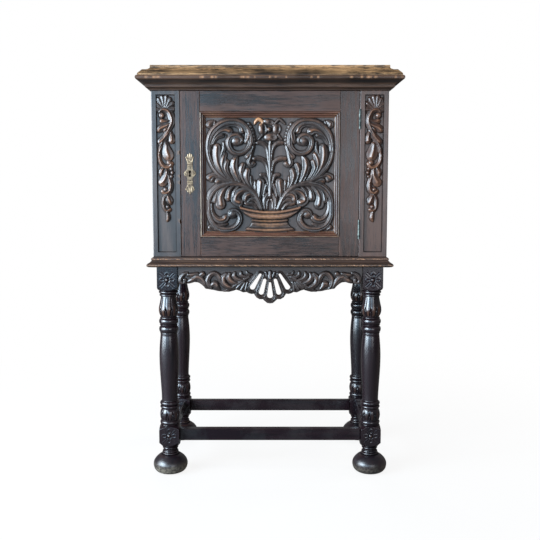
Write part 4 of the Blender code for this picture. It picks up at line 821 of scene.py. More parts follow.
# carved pilasters: (right of the middle, up from zeroZ, width) on the left one, mirrored on the right
pilaster = {
    "zeroZ": 1.21,
    "sunkHalf": 29.75,
    "topMargin": 0.0122,
    "bottomMargin": 0.0145,
    "depth": 0.007,
    "ease": 0.0008,
    "cell": 1.2,
    "wander": 0.35,
    "hingeBite": 0.0017,
    "shell": {
        "heart": (-4, -44), "flutes": 8, "from": -86, "to": 84, "tall": 45, "wide": 33,
        "widths": [(0.12, 6), (0.5, 11), (0.78, 15), (0.90, 14)],  # share of the way out, width
    },
    "fuller": 1.36,
    "strokes": [
        [(-19, -49, 8), (-10, -41.5, 11), (6, -45, 13), (15.5, -60, 16), (19, -77.5, 16), (13.6, -93, 14),
         (6, -108.5, 12), (-4, -126, 11), (-11.7, -143, 9), (-19.4, -162.5, 9), (-22, -185.7, 9),
         (-17.5, -205, 10), (-6, -218.5, 11), (8, -218.5, 12), (15, -209, 12)],
        [(-12.5, -60, 19)],
        [(8.5, -205, 17)],
        [(12, -76, 7), (-2, -79, 10), (-12, -77, 11)],
        [(15, -85, 8), (0, -93, 14), (-14, -99, 17), (-22, -107, 9)],
        [(6, -97, 8), (0, -103, 12), (-4, -107, 7)],
        [(13, -108, 8), (0, -124, 14), (-14, -139, 17), (-18, -141, 11)],
        [(15, -112, 8), (18, -126, 13), (19, -137, 15)],
        [(1, -146, 10), (2, -165, 21), (6, -180, 26), (8, -187, 20)],
        [(-10, -152, 6), (-19, -168, 11), (-22, -176, 7)],
        [(-8, -222, 8), (-15, -232, 14), (-17, -243, 8)],
        [(0, -224, 9), (0, -243, 15), (-8, -260, 20), (-12, -266, 20)],
        [(15, -224, 12)],
        [(18, -236, 12)],
        [(15.5, -248, 11)],
        [(4, -240, 8), (10, -258, 11), (13.6, -276, 12), (9, -293, 12), (-3, -300, 11), (-11, -294, 10)],
        [(-3.5, -288, 14)],
        [(0, -303, 8), (-8, -316, 10), (-10, -330, 10), (-8, -345, 9), (0, -354, 9), (9, -351, 9)],
        [(3, -342, 13)],
        [(2, -306, 8), (8, -320, 17), (12, -330, 9)],
        [(1, -357, 7), (4, -375, 11), (1, -385, 6)],
    ],
    "leaf": {"top": 9.5, "wall": 0.2, "tips": 0.6},
    "edgeLosses": [(-174, 7, 3.0), (-247, 5, 2.4), (-267, 6, 3.0), (-388, 7, 4.0)],  # on the left one
}


def carvePilaster(hand, side):
    spec = pilaster
    low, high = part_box(f"pilaster_{hand}")
    middle = (low[0] + high[0]) / 2
    bottom = (low[2] + spec["bottomMargin"] - spec["zeroZ"]) / mm
    top = (high[2] - spec["topMargin"] - spec["zeroZ"]) / mm
    half = spec["sunkHalf"]
    relief = newRelief((-half, bottom), (half, top), spec["cell"], spec["wander"])
    # three cells of painted shadow line inside the sunk border, and rubbed crests
    relief["dirtCells"], relief["rub"] = 3, 0.20
    shell = spec["shell"]
    for count in range(shell["flutes"]):
        turn = math.radians(shell["from"] + (shell["to"] - shell["from"]) * count / (shell["flutes"] - 1))
        flute = [
            (-side * (shell["heart"][0] + shell["wide"] * share * math.sin(turn)),
             shell["heart"][1] + shell["tall"] * share * math.cos(turn), width)
            for share, width in shell["widths"]
        ]
        layStroke(relief, flute, top=7.5, channel=-0.22 * side, ridge=0.5)
    for stroke in spec["strokes"]:
        grown = spec["fuller"] if len(stroke) > 1 else 1.0
        fuller = [(-side * across, up, width * grown) for across, up, width in stroke]
        several = len(stroke) > 1
        layStroke(relief, fuller, channel=-0.12 * side, ridge=0.8 * several, flutes=2 * several,
                  **spec["leaf"])
    relief["height"][:, [0, -1]] = 0
    relief["height"][[0, -1], :] = 0
    bm = facingGrid(relief, (middle, spec["zeroZ"]), frontY + spec["depth"])
    sunk = (half * mm, (top - bottom) / 2 * mm, spec["zeroZ"] + (bottom + top) / 2 * mm)
    outer = ((high[0] - low[0]) / 2, (high[2] - low[2]) / 2, (low[2] + high[2]) / 2)

    def ring(base, grown):
        return base[0] + grown * mm, base[1] + grown * mm, base[2]

    ease = spec["ease"] / mm
    before = sunk
    for after, y, crest in (
        (sunk, frontY, 0.45), (ring(sunk, 0.7), frontY, 0.3), (ring(outer, -ease - 1.4), frontY, 0.2),
        (ring(outer, -ease), frontY, 0.45), (outer, frontY + spec["ease"], 0.7), (outer, high[1], 0.0),
    ):
        scaleX, scaleZ = after[0] / before[0], after[1] / before[1]
        growBorder(bm, lambda co: Vector((
            middle + (co.x - middle) * scaleX, y, after[2] + (co.z - before[2]) * scaleZ
        )), crest)
        before = after
    closeBorder(bm)
    chip = bm.verts.layers.float["chip"]
    if side > 0:
        hinges = [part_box(f"hinge_{place}_frame_leaf") for place in ("lower", "upper")]
        for vertex in bm.verts:
            if any(box[0][2] - 0.0003 < vertex.co.z < box[1][2] + 0.0003 for box in hinges):
                vertex.co.x = max(vertex.co.x, low[0] + spec["hingeBite"])
    else:
        for vertex in bm.verts:
            inside = max(0.0, 1 - (high[0] - vertex.co.x) / mm / 3.0)
            for up, reach, depth in spec["edgeLosses"]:
                share = 1 - ((vertex.co.z - spec["zeroZ"]) / mm - up) ** 2 / reach ** 2
                if share > 0 and inside > 0 and vertex.co.y < frontY + 0.006:
                    vertex.co.x -= depth * mm * math.sqrt(share) * inside
                    vertex[chip] = max(vertex[chip], 0.8 * min(1.0, 2 * share) * inside)
    # the right pilaster takes the darker, redder copy of the finish: painted shade
    finish = carvedOakUpright if side < 0 else carvedOakShadedRed
    finishPiece(bm, f"pilaster{hand.title()}", finish, "cabinet", [f"pilaster_{hand}"])


for hand, side in (("left", -1), ("right", 1)):
    carvePilaster(hand, side)
print("pilasters carved")


# pierced and shaped plates

def distanceTo(loops, x, z):
    nearest = np.full(x.shape, 1e9)
    inside = np.zeros(x.shape, bool)
    footX, footZ = np.zeros(x.shape), np.zeros(x.shape)
    for loop in loops:
        for (x0, z0), (x1, z1) in zip(loop, [*loop[1:], loop[0]]):
            runX, runZ = x1 - x0, z1 - z0
            t = np.clip(((x - x0) * runX + (z - z0) * runZ) / max(runX * runX + runZ * runZ, 1e-9), 0, 1)
            gap = np.hypot(x - x0 - t * runX, z - z0 - t * runZ)
            closer = gap < nearest
            nearest = np.where(closer, gap, nearest)
            footX = np.where(closer, x0 + t * runX, footX)
            footZ = np.where(closer, z0 + t * runZ, footZ)
            if z0 != z1:
                inside ^= ((z0 > z) != (z1 > z)) & (x < x0 + runX * (z - z0) / runZ)
    return np.where(inside, nearest, -nearest), footX, footZ


def easeEdge(relief, loops, ease):
    deep = 1 - np.clip(distanceTo(loops, *np.meshgrid(relief["xs"], relief["zs"]))[0] / ease, 0, 1)
    relief["height"] -= ease * (1 - np.sqrt(1 - deep * deep))


def cutPlate(relief, loops, middle, facePlane, backPlane):
    bm = facingGrid(relief, middle, facePlane)
    bm.faces.ensure_lookup_table()
    centres = np.array([face.calc_center_median() for face in bm.faces])
    centreX, centreZ = (centres[:, 0] - middle[0]) / mm, (centres[:, 2] - middle[1]) / mm
    kept = distanceTo(loops, centreX, centreZ)[0] > 0
    bmesh.ops.delete(bm, geom=[face for face, keep in zip(bm.faces, kept) if not keep], context="FACES")
    rim = [vertex for vertex in bm.verts if vertex.is_boundary]
    rimX = np.array([(vertex.co.x - middle[0]) / mm for vertex in rim])
    rimZ = np.array([(vertex.co.z - middle[1]) / mm for vertex in rim])
    _, footX, footZ = distanceTo(loops, rimX, rimZ)
    for vertex, x, z in zip(rim, footX, footZ):
        vertex.co.x, vertex.co.z = middle[0] + x * mm, middle[1] + z * mm
    grown = bmesh.ops.extrude_face_region(bm, geom=list(bm.faces), use_keep_orig=True)["geom"]
    for item in grown:
        if isinstance(item, bmesh.types.BMVert):
            item.co.y = backPlane
    bmesh.ops.recalc_face_normals(bm, faces=bm.faces)
    return bm


def mirrorLoop(half):
    return [*half, *[(-x, z) for x, z in reversed(half) if x > 0]]


def teardrop(topX, topZ, topRadius, endX, endZ, endRadius, steps=12):
    along = math.atan2(endZ - topZ, endX - topX)
    points = []
    for x, z, radius, facing in ((topX, topZ, topRadius, along + math.pi), (endX, endZ, endRadius, along)):
        for count in range(steps + 1):
            turn = facing + math.pi * (count / steps - 0.5)
            points.append((x + radius * math.cos(turn), z + radius * math.sin(turn)))
    return points


# carved apron: (out from the middle, up from the stand's top, width), mirrored to both sides
apron = {
    "cell": 1.4,
    "wander": 0.4,
    "edge": [(0, -132), (9, -130.5), (17, -124), (23, -118), (33, -118.5), (43, -113), (48, -106),
             (51, -100.5), (60, -101.5), (68, -99), (75, -95), (85, -96.5), (97, -91), (107, -87.6),
             (116, -91), (130, -94.5), (147, -94), (166, -92), (186, -87), (205, -84), (213, -74), (225, -65),
             (240, -63), (256, -68), (294.7, -69)],
    "loops": [(0, -67, 3.5, 0, -107.5, 9.5), (17, -58, 5.5, 28, -98, 8.0), (31, -40, 4.0, 56, -81, 8.5)],
    "ease": 2.4,
    "band": 9.0,  # round each piercing
    "bandHeight": 3.0,
    "faceSetback": 0.0125,
    "thickness": 0.020,
    "fuller": 1.25,
    "strokes": [
        [(262, -33, 6), (272, -37, 10), (282, -47, 11), (285, -59, 10), (278, -67, 9), (270, -64, 8),
         (270, -56, 10)],
        [(258, -40, 9), (246, -40, 12), (230, -36, 9)],
        [(226, -44, 7), (213, -37, 14)],
        [(257, -61, 9), (246, -56, 14), (234, -50, 12)],
        [(244, -48, 8), (226, -48, 16), (213, -60, 16), (205, -73, 11), (199, -84, 6)],
        [(228, -58, 8), (219, -66, 9), (214, -74, 6)],
        [(186, -86, 7), (193, -74, 11), (197, -58, 13), (191, -43, 13), (179, -35, 12), (167, -39, 12),
         (160, -50, 13), (157, -62, 9)],
        [(184, -74, 8), (175, -69, 17), (168, -78, 13), (160, -86, 7)],
        [(140, -38, 10), (149, -50, 15), (147, -66, 15), (134, -78, 14), (114, -84, 7)],
        [(128, -36, 8), (132, -48, 14), (124, -60, 14), (108, -68, 11), (90, -70, 6)],
        [(112, -34, 8), (114, -44, 12), (104, -54, 12), (88, -58, 9), (74, -54, 5)],
        [(92, -32, 7), (92, -40, 10), (82, -46, 9), (66, -46, 5)],
        [(74, -30, 6), (70, -37, 8), (58, -39, 5)],
        [(146, -92, 5), (125, -84, 9), (105, -72, 10), (85, -58, 9), (65, -47, 5)],
        [(104, -83, 9), (95, -74, 11), (86, -64, 8)],
        [(90, -88, 9), (84, -78, 9), (79, -66, 7)],
        [(76, -88, 8), (74, -78, 8), (71, -64, 6)],
        [(0, -30, 9), (0, -52, 13)],
        [(14, -32, 7), (9, -48, 9)],
    ],
}


def carveApron():
    spec = apron
    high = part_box("apron_front")[1]
    stretch = high[0] / mm / spec["edge"][-1][0]
    loops = [mirrorLoop([*[(x * stretch, z) for x, z in spec["edge"]], (high[0] / mm, 0)])]
    pierced = []
    for topX, topZ, topRadius, endX, endZ, endRadius in spec["loops"]:
        loop = teardrop(topX, topZ, topRadius, endX, endZ, endRadius)
        pierced.append(loop)
        if topX:
            pierced.append([(-x, z) for x, z in reversed(loop)])
    relief = newRelief((-high[0] / mm, -133), (high[0] / mm, 0), spec["cell"], spec["wander"])
    for side in (-1, 1):
        for stroke in spec["strokes"]:
            fuller = [(side * out, up, width * spec["fuller"]) for out, up, width in stroke]
            layStroke(relief, fuller, top=8.5, base=2.4, rise=0.7, channel=0.2 * side)
    rim = -distanceTo(pierced, *np.meshgrid(relief["xs"], relief["zs"]))[0]
    wide = spec["band"]
    band = spec["bandHeight"] * np.abs(np.sin(np.clip(rim, 0, wide) / wide * 2 * math.pi))
    relief["height"] = np.where((rim > 0) & (rim < wide), band, relief["height"])
    outline = [*loops, *pierced]
    easeEdge(relief, outline, spec["ease"])
    facePlane = frontY + spec["faceSetback"]
    bm = cutPlate(relief, outline, (0.0, high[2]), facePlane, facePlane + spec["thickness"])
    finishPiece(bm, "apronCarved", carvedOakAcross, "cabinet", ["apron_front"])


carveApron()
print("apron carved")


# engraved escutcheon: (out, up) from the keyhole's middle
escutcheon = {
    "cell": 0.55,
    "half": [(0, 65), (1.6, 61.5), (3, 60), (5, 60.8), (6.8, 59.6), (8, 54.5), (9.6, 53.4), (11, 53),
             (12.8, 51.6), (13.2, 49), (10.4, 42), (8.6, 34), (8.2, 31), (8.9, 27), (8.5, 19), (9.4, 14),
             (11.5, 10.6), (15, 8), (17.5, 4.6), (19.5, 0.5), (18, -3.4), (15.6, -6.4), (11.6, -9.6),
             (9.4, -13.4), (8.8, -19), (9.0, -27), (8.3, -31), (9, -35.5), (11.6, -42), (15, -47.6),
             (14, -50.6), (11, -52), (9.4, -54.4), (8.4, -57.4), (6.6, -58.6), (4.6, -57.8), (2.6, -62),
             (0, -66)],
    "keyhole": {"radius": 4.4, "waist": 4.4, "foot": 7.2, "drop": 20.0},
    "boost": 7.0,
    "strokes": [[(0, 36, 2.4), (0, 48, 3.2), (0, 61, 2.6)],
                [(3.2, 36, 2.4), (4.6, 48, 3.2), (5.4, 58.6, 2.8)],
                [(6.4, 36, 2.4), (8.8, 44, 3.2), (11.6, 51, 2.6)],
                [(0, -36, 2.4), (0, -48, 3.2), (0, -63, 2.4)],
                [(3.2, -36, 2.4), (4.8, -46, 3.2), (6.4, -56, 2.8)],
                [(6.4, -36, 2.4), (9.2, -42, 3.2), (13, -49, 2.6)], [(0, 32, 4.2), (7.8, 32, 4.2)],
                [(0, 25.5, 3.4), (8.2, 25.5, 3.4)], [(0, -32, 4.2), (7.8, -32, 4.2)],
                [(0, -25.5, 3.4), (8.2, -25.5, 3.4)], [(9, 4, 2.6), (13, 4.6, 3.2), (17, 1.4, 2.6)],
                [(8, 0, 2.2), (12, 0, 2.6)], [(9, -4, 2.6), (12.6, -4.8, 3.0), (16, -3, 2.4)]],
    "thickness": 1.1,
    "relief": 1.0,
    "ease": 0.55,
}


def engraveEscutcheon():
    spec = escutcheon
    key = spec["keyhole"]
    waistHalf, footHalf = key["waist"] / 2, key["foot"] / 2
    start = -math.acos(waistHalf / key["radius"])
    head = [start + (math.pi - 2 * start) * count / 20 for count in range(21)]
    headUp, footDown = key["drop"] / 2 - key["radius"], -key["drop"] / 2
    keyhole = [(key["radius"] * math.cos(turn), headUp + key["radius"] * math.sin(turn)) for turn in head]
    keyhole += [(-waistHalf, -2.0), (-footHalf, -6.0), (-footHalf, footDown + 1.5), (-1.6, footDown)]
    keyhole += [(1.6, footDown), (footHalf, footDown + 1.5), (footHalf, -6.0), (waistHalf, -2.0)]
    loops = [mirrorLoop(spec["half"]), keyhole]
    relief = newRelief((-20, -67), (20, 66), spec["cell"])
    relief["boost"], relief["dull"] = spec["boost"], 0.6
    for side in (-1, 1):
        for stroke in spec["strokes"]:
            placed = [(side * out, up, width) for out, up, width in stroke]
            layStroke(relief, placed, top=spec["relief"], wall=0.1)
    easeEdge(relief, loops, spec["ease"])
    backPlane = plateHigh[1]
    middle = (keyholeAt[0], keyholeAt[2])
    bm = cutPlate(relief, loops, middle, backPlane - spec["thickness"] * mm, backPlane)
    finishPiece(bm, "escutcheonPlate", oldBrass, "door", ["escutcheon"])


engraveEscutcheon()
print("escutcheon engraved")


# turned legs and feet: (radius, height above the floor) in millimetres

def turnedBead(low, high, root, crest, steps=10):
    turns = [math.pi * count / steps for count in range(steps + 1)]
    return [
        (root + (crest - root) * math.sin(turn), low + (high - low) * (1 - math.cos(turn)) / 2)
        for turn in turns
    ]


def turnedCurve(points, steps=6):
    return [(radius, height) for radius, height, _ in smoothLine([(*point, 0) for point in points], steps)]


def turnedRows(radius, low, high, step=1.3):
    count = int(round((high - low) / step))
    return [(radius, low + (high - low) * index / count) for index in range(count + 1)]


leg = {
    "half": 0.032,
    "past": 48.3,
    "leaves": [
        {"count": 10, "low": 517.0, "point": 543, "high": 581, "groove": 2.8, "swell": 0.9, "rub": 1.1},
        {"count": 10, "low": 175.5, "point": 198, "high": 213, "groove": 2.6, "swell": 0.9, "rub": 0.7},
    ],
    "blocks": [(94, 156), (602, 700)],
    "rosettes": [636.0, 126.0],
    "rosetteReach": 29,
    "petals": [(15.5, 0, 8.6, 6.8), (-15.5, 0, 8.6, 6.8), (0, 15.5, 6.8, 8.6), (0, -15.5, 6.8, 8.6)],
}


def legProfile():
    past = leg["past"]
    return [(0, 66.3), (23, 66.3), *turnedBead(66.6, 72.6, 23, 25.8), (22.4, 73.4), (22.2, 76), (22.6, 78.8),
            *turnedBead(79.2, 83.8, 23.4, 25.4, 6),
            *turnedCurve([(25.0, 84.4), (28.2, 88.2), (32.4, 93), (37.4, 98), (43, 102.4), (past, 107)], 4),
            *turnedRows(past, 107.3, 144.3),
            *turnedCurve([(past, 144.6), (42.5, 149.5), (36.5, 153.6), (31.4, 156.6), (28.5, 157.6)], 4),
            *turnedBead(158.2, 161.5, 28.2, 30.6, 6), *turnedBead(162, 173.5, 28.4, 32.0),
            *turnedCurve([(28.2, 174.4), (29.4, 178), (31.2, 187), (31.4, 195), (29.8, 205), (27.6, 211),
                          (26, 213.2)], 5),
            *turnedBead(214, 224.2, 26, 31.2), *turnedBead(225, 237.5, 26, 31.6),
            *turnedCurve([(26.2, 238.6), (25.8, 243), (26.2, 262), (28.6, 307), (30.9, 350), (31.5, 384),
                          (30.6, 412), (28.4, 440), (27.0, 454), (27.0, 461)], 5),
            *turnedBead(462, 464.6, 26.6, 28.2, 5), *turnedBead(465.2, 484, 26.8, 31.0), (26, 485),
            (26.2, 486), *turnedBead(487, 490.5, 26.4, 28.6, 5), *turnedBead(491.2, 508.5, 26.8, 31.0),
            *turnedBead(509.2, 514, 25.2, 28.0, 6),
            *turnedCurve([(25.2, 516), (27.0, 520), (29.6, 527), (31.0, 535), (30.4, 545), (28.3, 555),
                          (26.3, 564), (24.7, 573), (24.2, 581)], 6),
            *turnedBead(581.6, 589.8, 24.2, 28.4), (25.4, 590.2), *turnedBead(590.6, 599.6, 25.6, 30.6),
            (26.4, 600), *turnedCurve([(30.6, 600.8), (36.5, 604.5), (42.5, 609), (past, 614)], 4),
            *turnedRows(past, 614.3, 692.3), (0, 692.3)]


# broad leaves with a small pointed one rising between each two
def leafCut(turn, height, spec):
    if not spec["low"] < height < spec["high"]:
        return 0.0, 0.0, 0.0
    share = ((turn - 0.14) / (2 * math.pi) * spec["count"]) % 1 - 0.5  # nought on a broad leaf's middle line
    apart = 0.5 - abs(share)
    rise = (height - spec["low"]) / (spec["point"] - spec["low"])
    edge = 0.24 * max(0.0, 1 - rise) ** 0.6
    ends = min(1.0, (height - spec["low"]) / 3, (spec["high"] - height) / 8)
    above = max(0.0, 1 - max(0.0, rise - 1) / 0.25)
    groove = math.exp(-(((apart - edge) / 0.065) ** 2)) * above * ends
    swell = spec["swell"] * max(0.0, 1 - (share / 0.5) ** 2) * ends
    return swell - spec["groove"] * groove, groove, max(0.0, swell * (1 - groove))


# rosette on the face of a block: millimetres across and up from its middle
def rosetteCut(across, up):
    boss = math.hypot(across, up)
    cut = 3.0 * math.sqrt(max(0.0, 1 - (boss / 5.2) ** 2)) - 1.3 * math.exp(-(((boss - 6.9) / 1.3) ** 2))
    for petalX, petalZ, wide, tall in leg["petals"]:
        ring = math.hypot((across - petalX) / wide, (up - petalZ) / tall)
        cut += 0.75 * math.exp(-(((ring - 0.84) / 0.20) ** 2)) - 0.65 * math.exp(-((ring / 0.45) ** 2))
    slant, aside = (abs(across) + abs(up)) / math.sqrt(2), (abs(across) - abs(up)) / math.sqrt(2)
    if 11 < slant < 31:
        cut += 0.30 * math.exp(-((aside / 1.6) ** 2)) - 0.5 * math.exp(-(((abs(aside) - 3.4) / 1.2) ** 2))
    return cut


# a grid bent round the axis: columns are turns, rows are profile points
def spinProfile(profile, steps):
    bm = bmesh.new()
    layers = [bm.verts.layers.float.new(name) for name in ("crest", "grimeAndShade", "chip")]
    bmesh.ops.create_grid(bm, x_segments=steps, y_segments=len(profile) - 1, size=0.5)
    for vertex in bm.verts:
        radius, height = profile[int(round((vertex.co.y + 0.5) * (len(profile) - 1)))]
        turn = 2 * math.pi * (int(round((vertex.co.x + 0.5) * steps)) % steps) / steps
        vertex.co = (radius * mm * math.cos(turn), radius * mm * math.sin(turn), height * mm)
    bmesh.ops.remove_doubles(bm, verts=bm.verts, dist=1e-6)
    bmesh.ops.recalc_face_normals(bm, faces=bm.faces)
    return bm, layers


# rubbed where the profile stands proud, darkened where it is sunk: dark wax with painted shade
def profileWearAndShade(profile):
    radii = np.array([radius for radius, _ in profile], float)
    heights = np.array([height for _, height in profile], float)
    mean = np.array([radii[np.abs(heights - height) < 4.5].mean() for height in heights])
    return heights, np.clip((radii - mean) / 2.0, 0, 1), np.clip((mean - radii) / 2.2, 0, 1)


def turnLeg(corner, steps):
    low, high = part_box(f"leg_{corner}")
    centreX, centreY = (low[0] + high[0]) / 2, (low[1] + high[1]) / 2
    outward = math.copysign(1, centreX)
    front = corner.startswith("front")
    profile = legProfile()
    bm, (crest, grimeAndShade, _) = spinProfile(profile, steps)
    heights, wornAt, recessShadeAt = profileWearAndShade(profile)
    half = leg["half"]
    for vertex in bm.verts:
        x, y, z = vertex.co
        radius, turn, height = math.hypot(x, y), math.atan2(y, x), z / mm
        onBlock = radius > half + 0.001 and any(start < height < end for start, end in leg["blocks"])
        if not onBlock and radius > 0.001:
            vertex[crest] = 0.35 * float(np.interp(height, heights, wornAt))
            vertex[grimeAndShade] = float(np.interp(height, heights, recessShadeAt))
            for leaf in leg["leaves"]:
                change, dark, worn = leafCut(turn, height, leaf)
                if change:
                    x *= 1 + change * mm / radius
                    y *= 1 + change * mm / radius
                    # painted shade: the grooves between the leaves are darkened
                    vertex[grimeAndShade] = min(1.0, dark)
                    vertex[crest] = worn * max(0.5, leaf["rub"] - max(0.0, height - leaf["point"]) / 30)
        x, y = max(-half, min(half, x)), max(-half, min(half, y))
        if onBlock:
            arris = (max(abs(x), abs(y)) == half) and min(abs(x), abs(y)) > half - 0.0004
            vertex[crest] = 0.75 if arris else 0.1
            middle = min(leg["rosettes"], key=lambda up: abs(height - up))
            for facing, across in ((-y, x), (x * outward, y)):
                onFace = facing >= half - 1e-6 and abs(across) < half - 0.001
                if front and onFace and abs(height - middle) < leg["rosetteReach"]:
                    change = rosetteCut(across / mm, height - middle)
                    # painted shade: the rosette's cut recesses are darkened
                    vertex[grimeAndShade] = min(1.0, max(0.0, -change / 1.4))
                    vertex[crest] = min(1.0, max(0.1, (change - 1.2) / 1.6))
                    if facing == -y:
                        y -= change * mm
                    else:
                        x += outward * change * mm
        vertex.co = (centreX + x, centreY + y, z)
    name = "leg" + corner.title().replace("_", "")
    finishPiece(bm, name, turnedOak, "cabinet", [f"leg_{corner}"], 42)


foot = {
    "steps": 96,
    "dusty": 40,  # nothing is rubbed bare below this
    "profile": [
        (0, 0), (32, 0),
        *turnedCurve([(33, 0.1), (38, 1.0), (46, 5), (52, 12), (55, 21), (55.5, 29), (53.6, 37), (49, 44.6),
                      (43, 51), (37.4, 55.6), (31.5, 58.6), (28.0, 59.6)], 6),
        (26.4, 60), *turnedBead(60.3, 65.8, 25.8, 27.6, 8), (25.6, 66), (0, 66),
    ],
}


def turnFoot(corner):
    low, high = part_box(f"foot_{corner}")
    centreX, centreY = (low[0] + high[0]) / 2, (low[1] + high[1]) / 2
    bm, (crest, grimeAndShade, _) = spinProfile(foot["profile"], foot["steps"])
    heights, wornAt, recessShadeAt = profileWearAndShade(foot["profile"])
    for vertex in bm.verts:
        height = vertex.co.z / mm
        if height > foot["dusty"]:
            vertex[crest] = float(np.interp(height, heights, wornAt)) * 0.6
            vertex[grimeAndShade] = float(np.interp(height, heights, recessShadeAt))
        vertex.co = (centreX + vertex.co.x, centreY + vertex.co.y, vertex.co.z)
    name = "foot" + corner.title().replace("_", "")
    finishPiece(bm, name, footOak, "cabinet", [f"foot_{corner}"], 42)


for row, steps in (("front", 216), ("rear", 120)):
    for hand in ("left", "right"):
        turnLeg(f"{row}_{hand}", steps)
        turnFoot(f"{row}_{hand}")
print("legs and feet turned")


# mouldings: (overhang, height) in millimetres from below upwards

def roundedSection(points, rounds=2):
    for _ in range(rounds):
        cut = [points[0]]
        for (x0, z0), (x1, z1) in zip(points, points[1:]):
            cut.append((0.75 * x0 + 0.25 * x1, 0.75 * z0 + 0.25 * z1))
            cut.append((0.25 * x0 + 0.75 * x1, 0.25 * z0 + 0.75 * z1))
        points = [*cut, points[-1]]
    return [points[0], *[point for last, point in zip(points, points[1:]) if math.dist(last, point) > 0.02]]


# rubbed where the section stands proud, darkened where it is sunk: dark wax with painted shade
def sectionWearAndShade(section, reach=2.6):
    outs = np.array([out for out, _ in section], float)
    runs = np.concatenate([[0], np.cumsum(np.hypot(np.diff(outs), np.diff([up for _, up in section])))])
    mean = np.array([outs[np.abs(runs - run) < reach].mean() for run in runs])
    return np.clip((outs - mean) / 0.9, 0, 1), np.clip((mean - outs) / 0.9, 0, 1)


moulding = {
    "cornice": [(4, 0), (4, 1.2), (5.6, 3.4), (11, 6.4), (11, 6.4), (14.6, 7.2), (16.2, 9.6), (15.2, 12.2),
                (15.2, 12.2), (15.8, 16), (20, 20.6), (27.5, 24.8), (35, 27.4), (35, 27.4), (39.4, 28.4),
                (41.8, 32), (41.8, 36.6), (40, 40.2), (37, 41.3)],
    "topBoard": [(36, 0), (36, 2.4), (35.4, 5.4), (31, 10), (27, 13.6), (22.6, 18.4), (22.6, 18.4), (17, 19),
                 (10.4, 20.4), (5.6, 23), (3, 25), (2, 26.2), (2, 26.2), (2, 33.4), (1.4, 34.5)],
    "torus": [(9, 0), (9, 0.4), (15, 1.2), (19.2, 4), (20, 7.4), (18.6, 10.6), (15.2, 13), (13, 14)],
    "bottomBoard": [(12, 0), (12, 0), (8.6, 3.2), (5, 7.4), (5, 7.4), (6.5, 8.8), (7, 11.2), (6.5, 13.6),
                    (4.6, 15.3), (4.6, 15.3), (0, 16.4), (0, 17.7)],
    "panel": [(0.3, 0), (0.3, 0), (0.8, -2.1), (2.6, -2.5), (4.4, -2.4), (5.4, -0.9), (5.9, 2.0), (5.9, 2.0),
              (6.7, 0.4), (8.4, -0.5), (10.6, 0.8), (11.8, 3.4), (12.2, 6.2), (12.2, 6.2), (13.4, 4.7),
              (17, 7.4), (18, 9.6), (18, 10.2)],
    "step": 0.0034,
    "mitreGap": 0.0003,
    "lip": (22.6, 2.0),  # overhang and reach of the top board's rubbed lip
    "paleLine": {"left": 0.62, "right": 0.42, "bottom": 0.5},  # bare wood on the outer bead round the panel
}


def lengthwise(starts, ends, wear):
    bm = bmesh.new()
    crest, grimeAndShade, chip = (bm.verts.layers.float.new(name) for name in ("crest", "grimeAndShade", "chip"))
    first = [bm.verts.new(point) for point in starts]
    for vertex, worn, dark in zip(first, *wear):
        vertex[crest], vertex[grimeAndShade] = worn, dark
    face = bm.faces.new(first)
    grown = bmesh.ops.extrude_face_region(bm, geom=[face], use_keep_orig=True)["geom"]
    far = [item for item in grown if isinstance(item, bmesh.types.BMVert)]
    runs = []
    for vertex in far:
        edge = next(edge for edge in vertex.link_edges if edge.calc_length() < 1e-9)
        runs.append(edge)
        vertex.co = ends[first.index(edge.other_vert(vertex))]
    cuts = max(1, int(max(edge.calc_length() for edge in runs) / moulding["step"]))
    bmesh.ops.subdivide_edges(bm, edges=runs, cuts=cuts)
    bmesh.ops.recalc_face_normals(bm, faces=bm.faces)
    if bm.calc_volume(signed=True) < 0:
        bmesh.ops.reverse_faces(bm, faces=bm.faces)
    return bm, chip


# small losses along an arris: depth at a place along it
def lossesAlong(seed, low, high, count, widest, deepest):
    drawn = np.random.default_rng(seed)
    places, widths = drawn.uniform(low, high, count), drawn.uniform(0.25, 1, count) * widest
    depths = drawn.uniform(0.3, 1, count) * deepest

    def depth(along):
        return float(np.max(depths * np.clip(1 - ((along - places) / widths) ** 2, 0, 1)))

    return depth


# broken rubbing along a bead: a share at a place along it and up it, strongest on its crest
def specksAlong(seed, crestUp, reach, step):
    drawn = np.random.default_rng(seed)
    places = np.arange(-0.5, 0.6, step)
    shares = np.clip(drawn.normal(0.62, 0.60, len(places)), 0, 1)

    def share(along, up):
        near = max(0.0, 1 - ((up - crestUp) / reach) ** 2)
        return near ** 1.5 * float(np.interp(along + 0.0027 * up, places, shares))

    return share


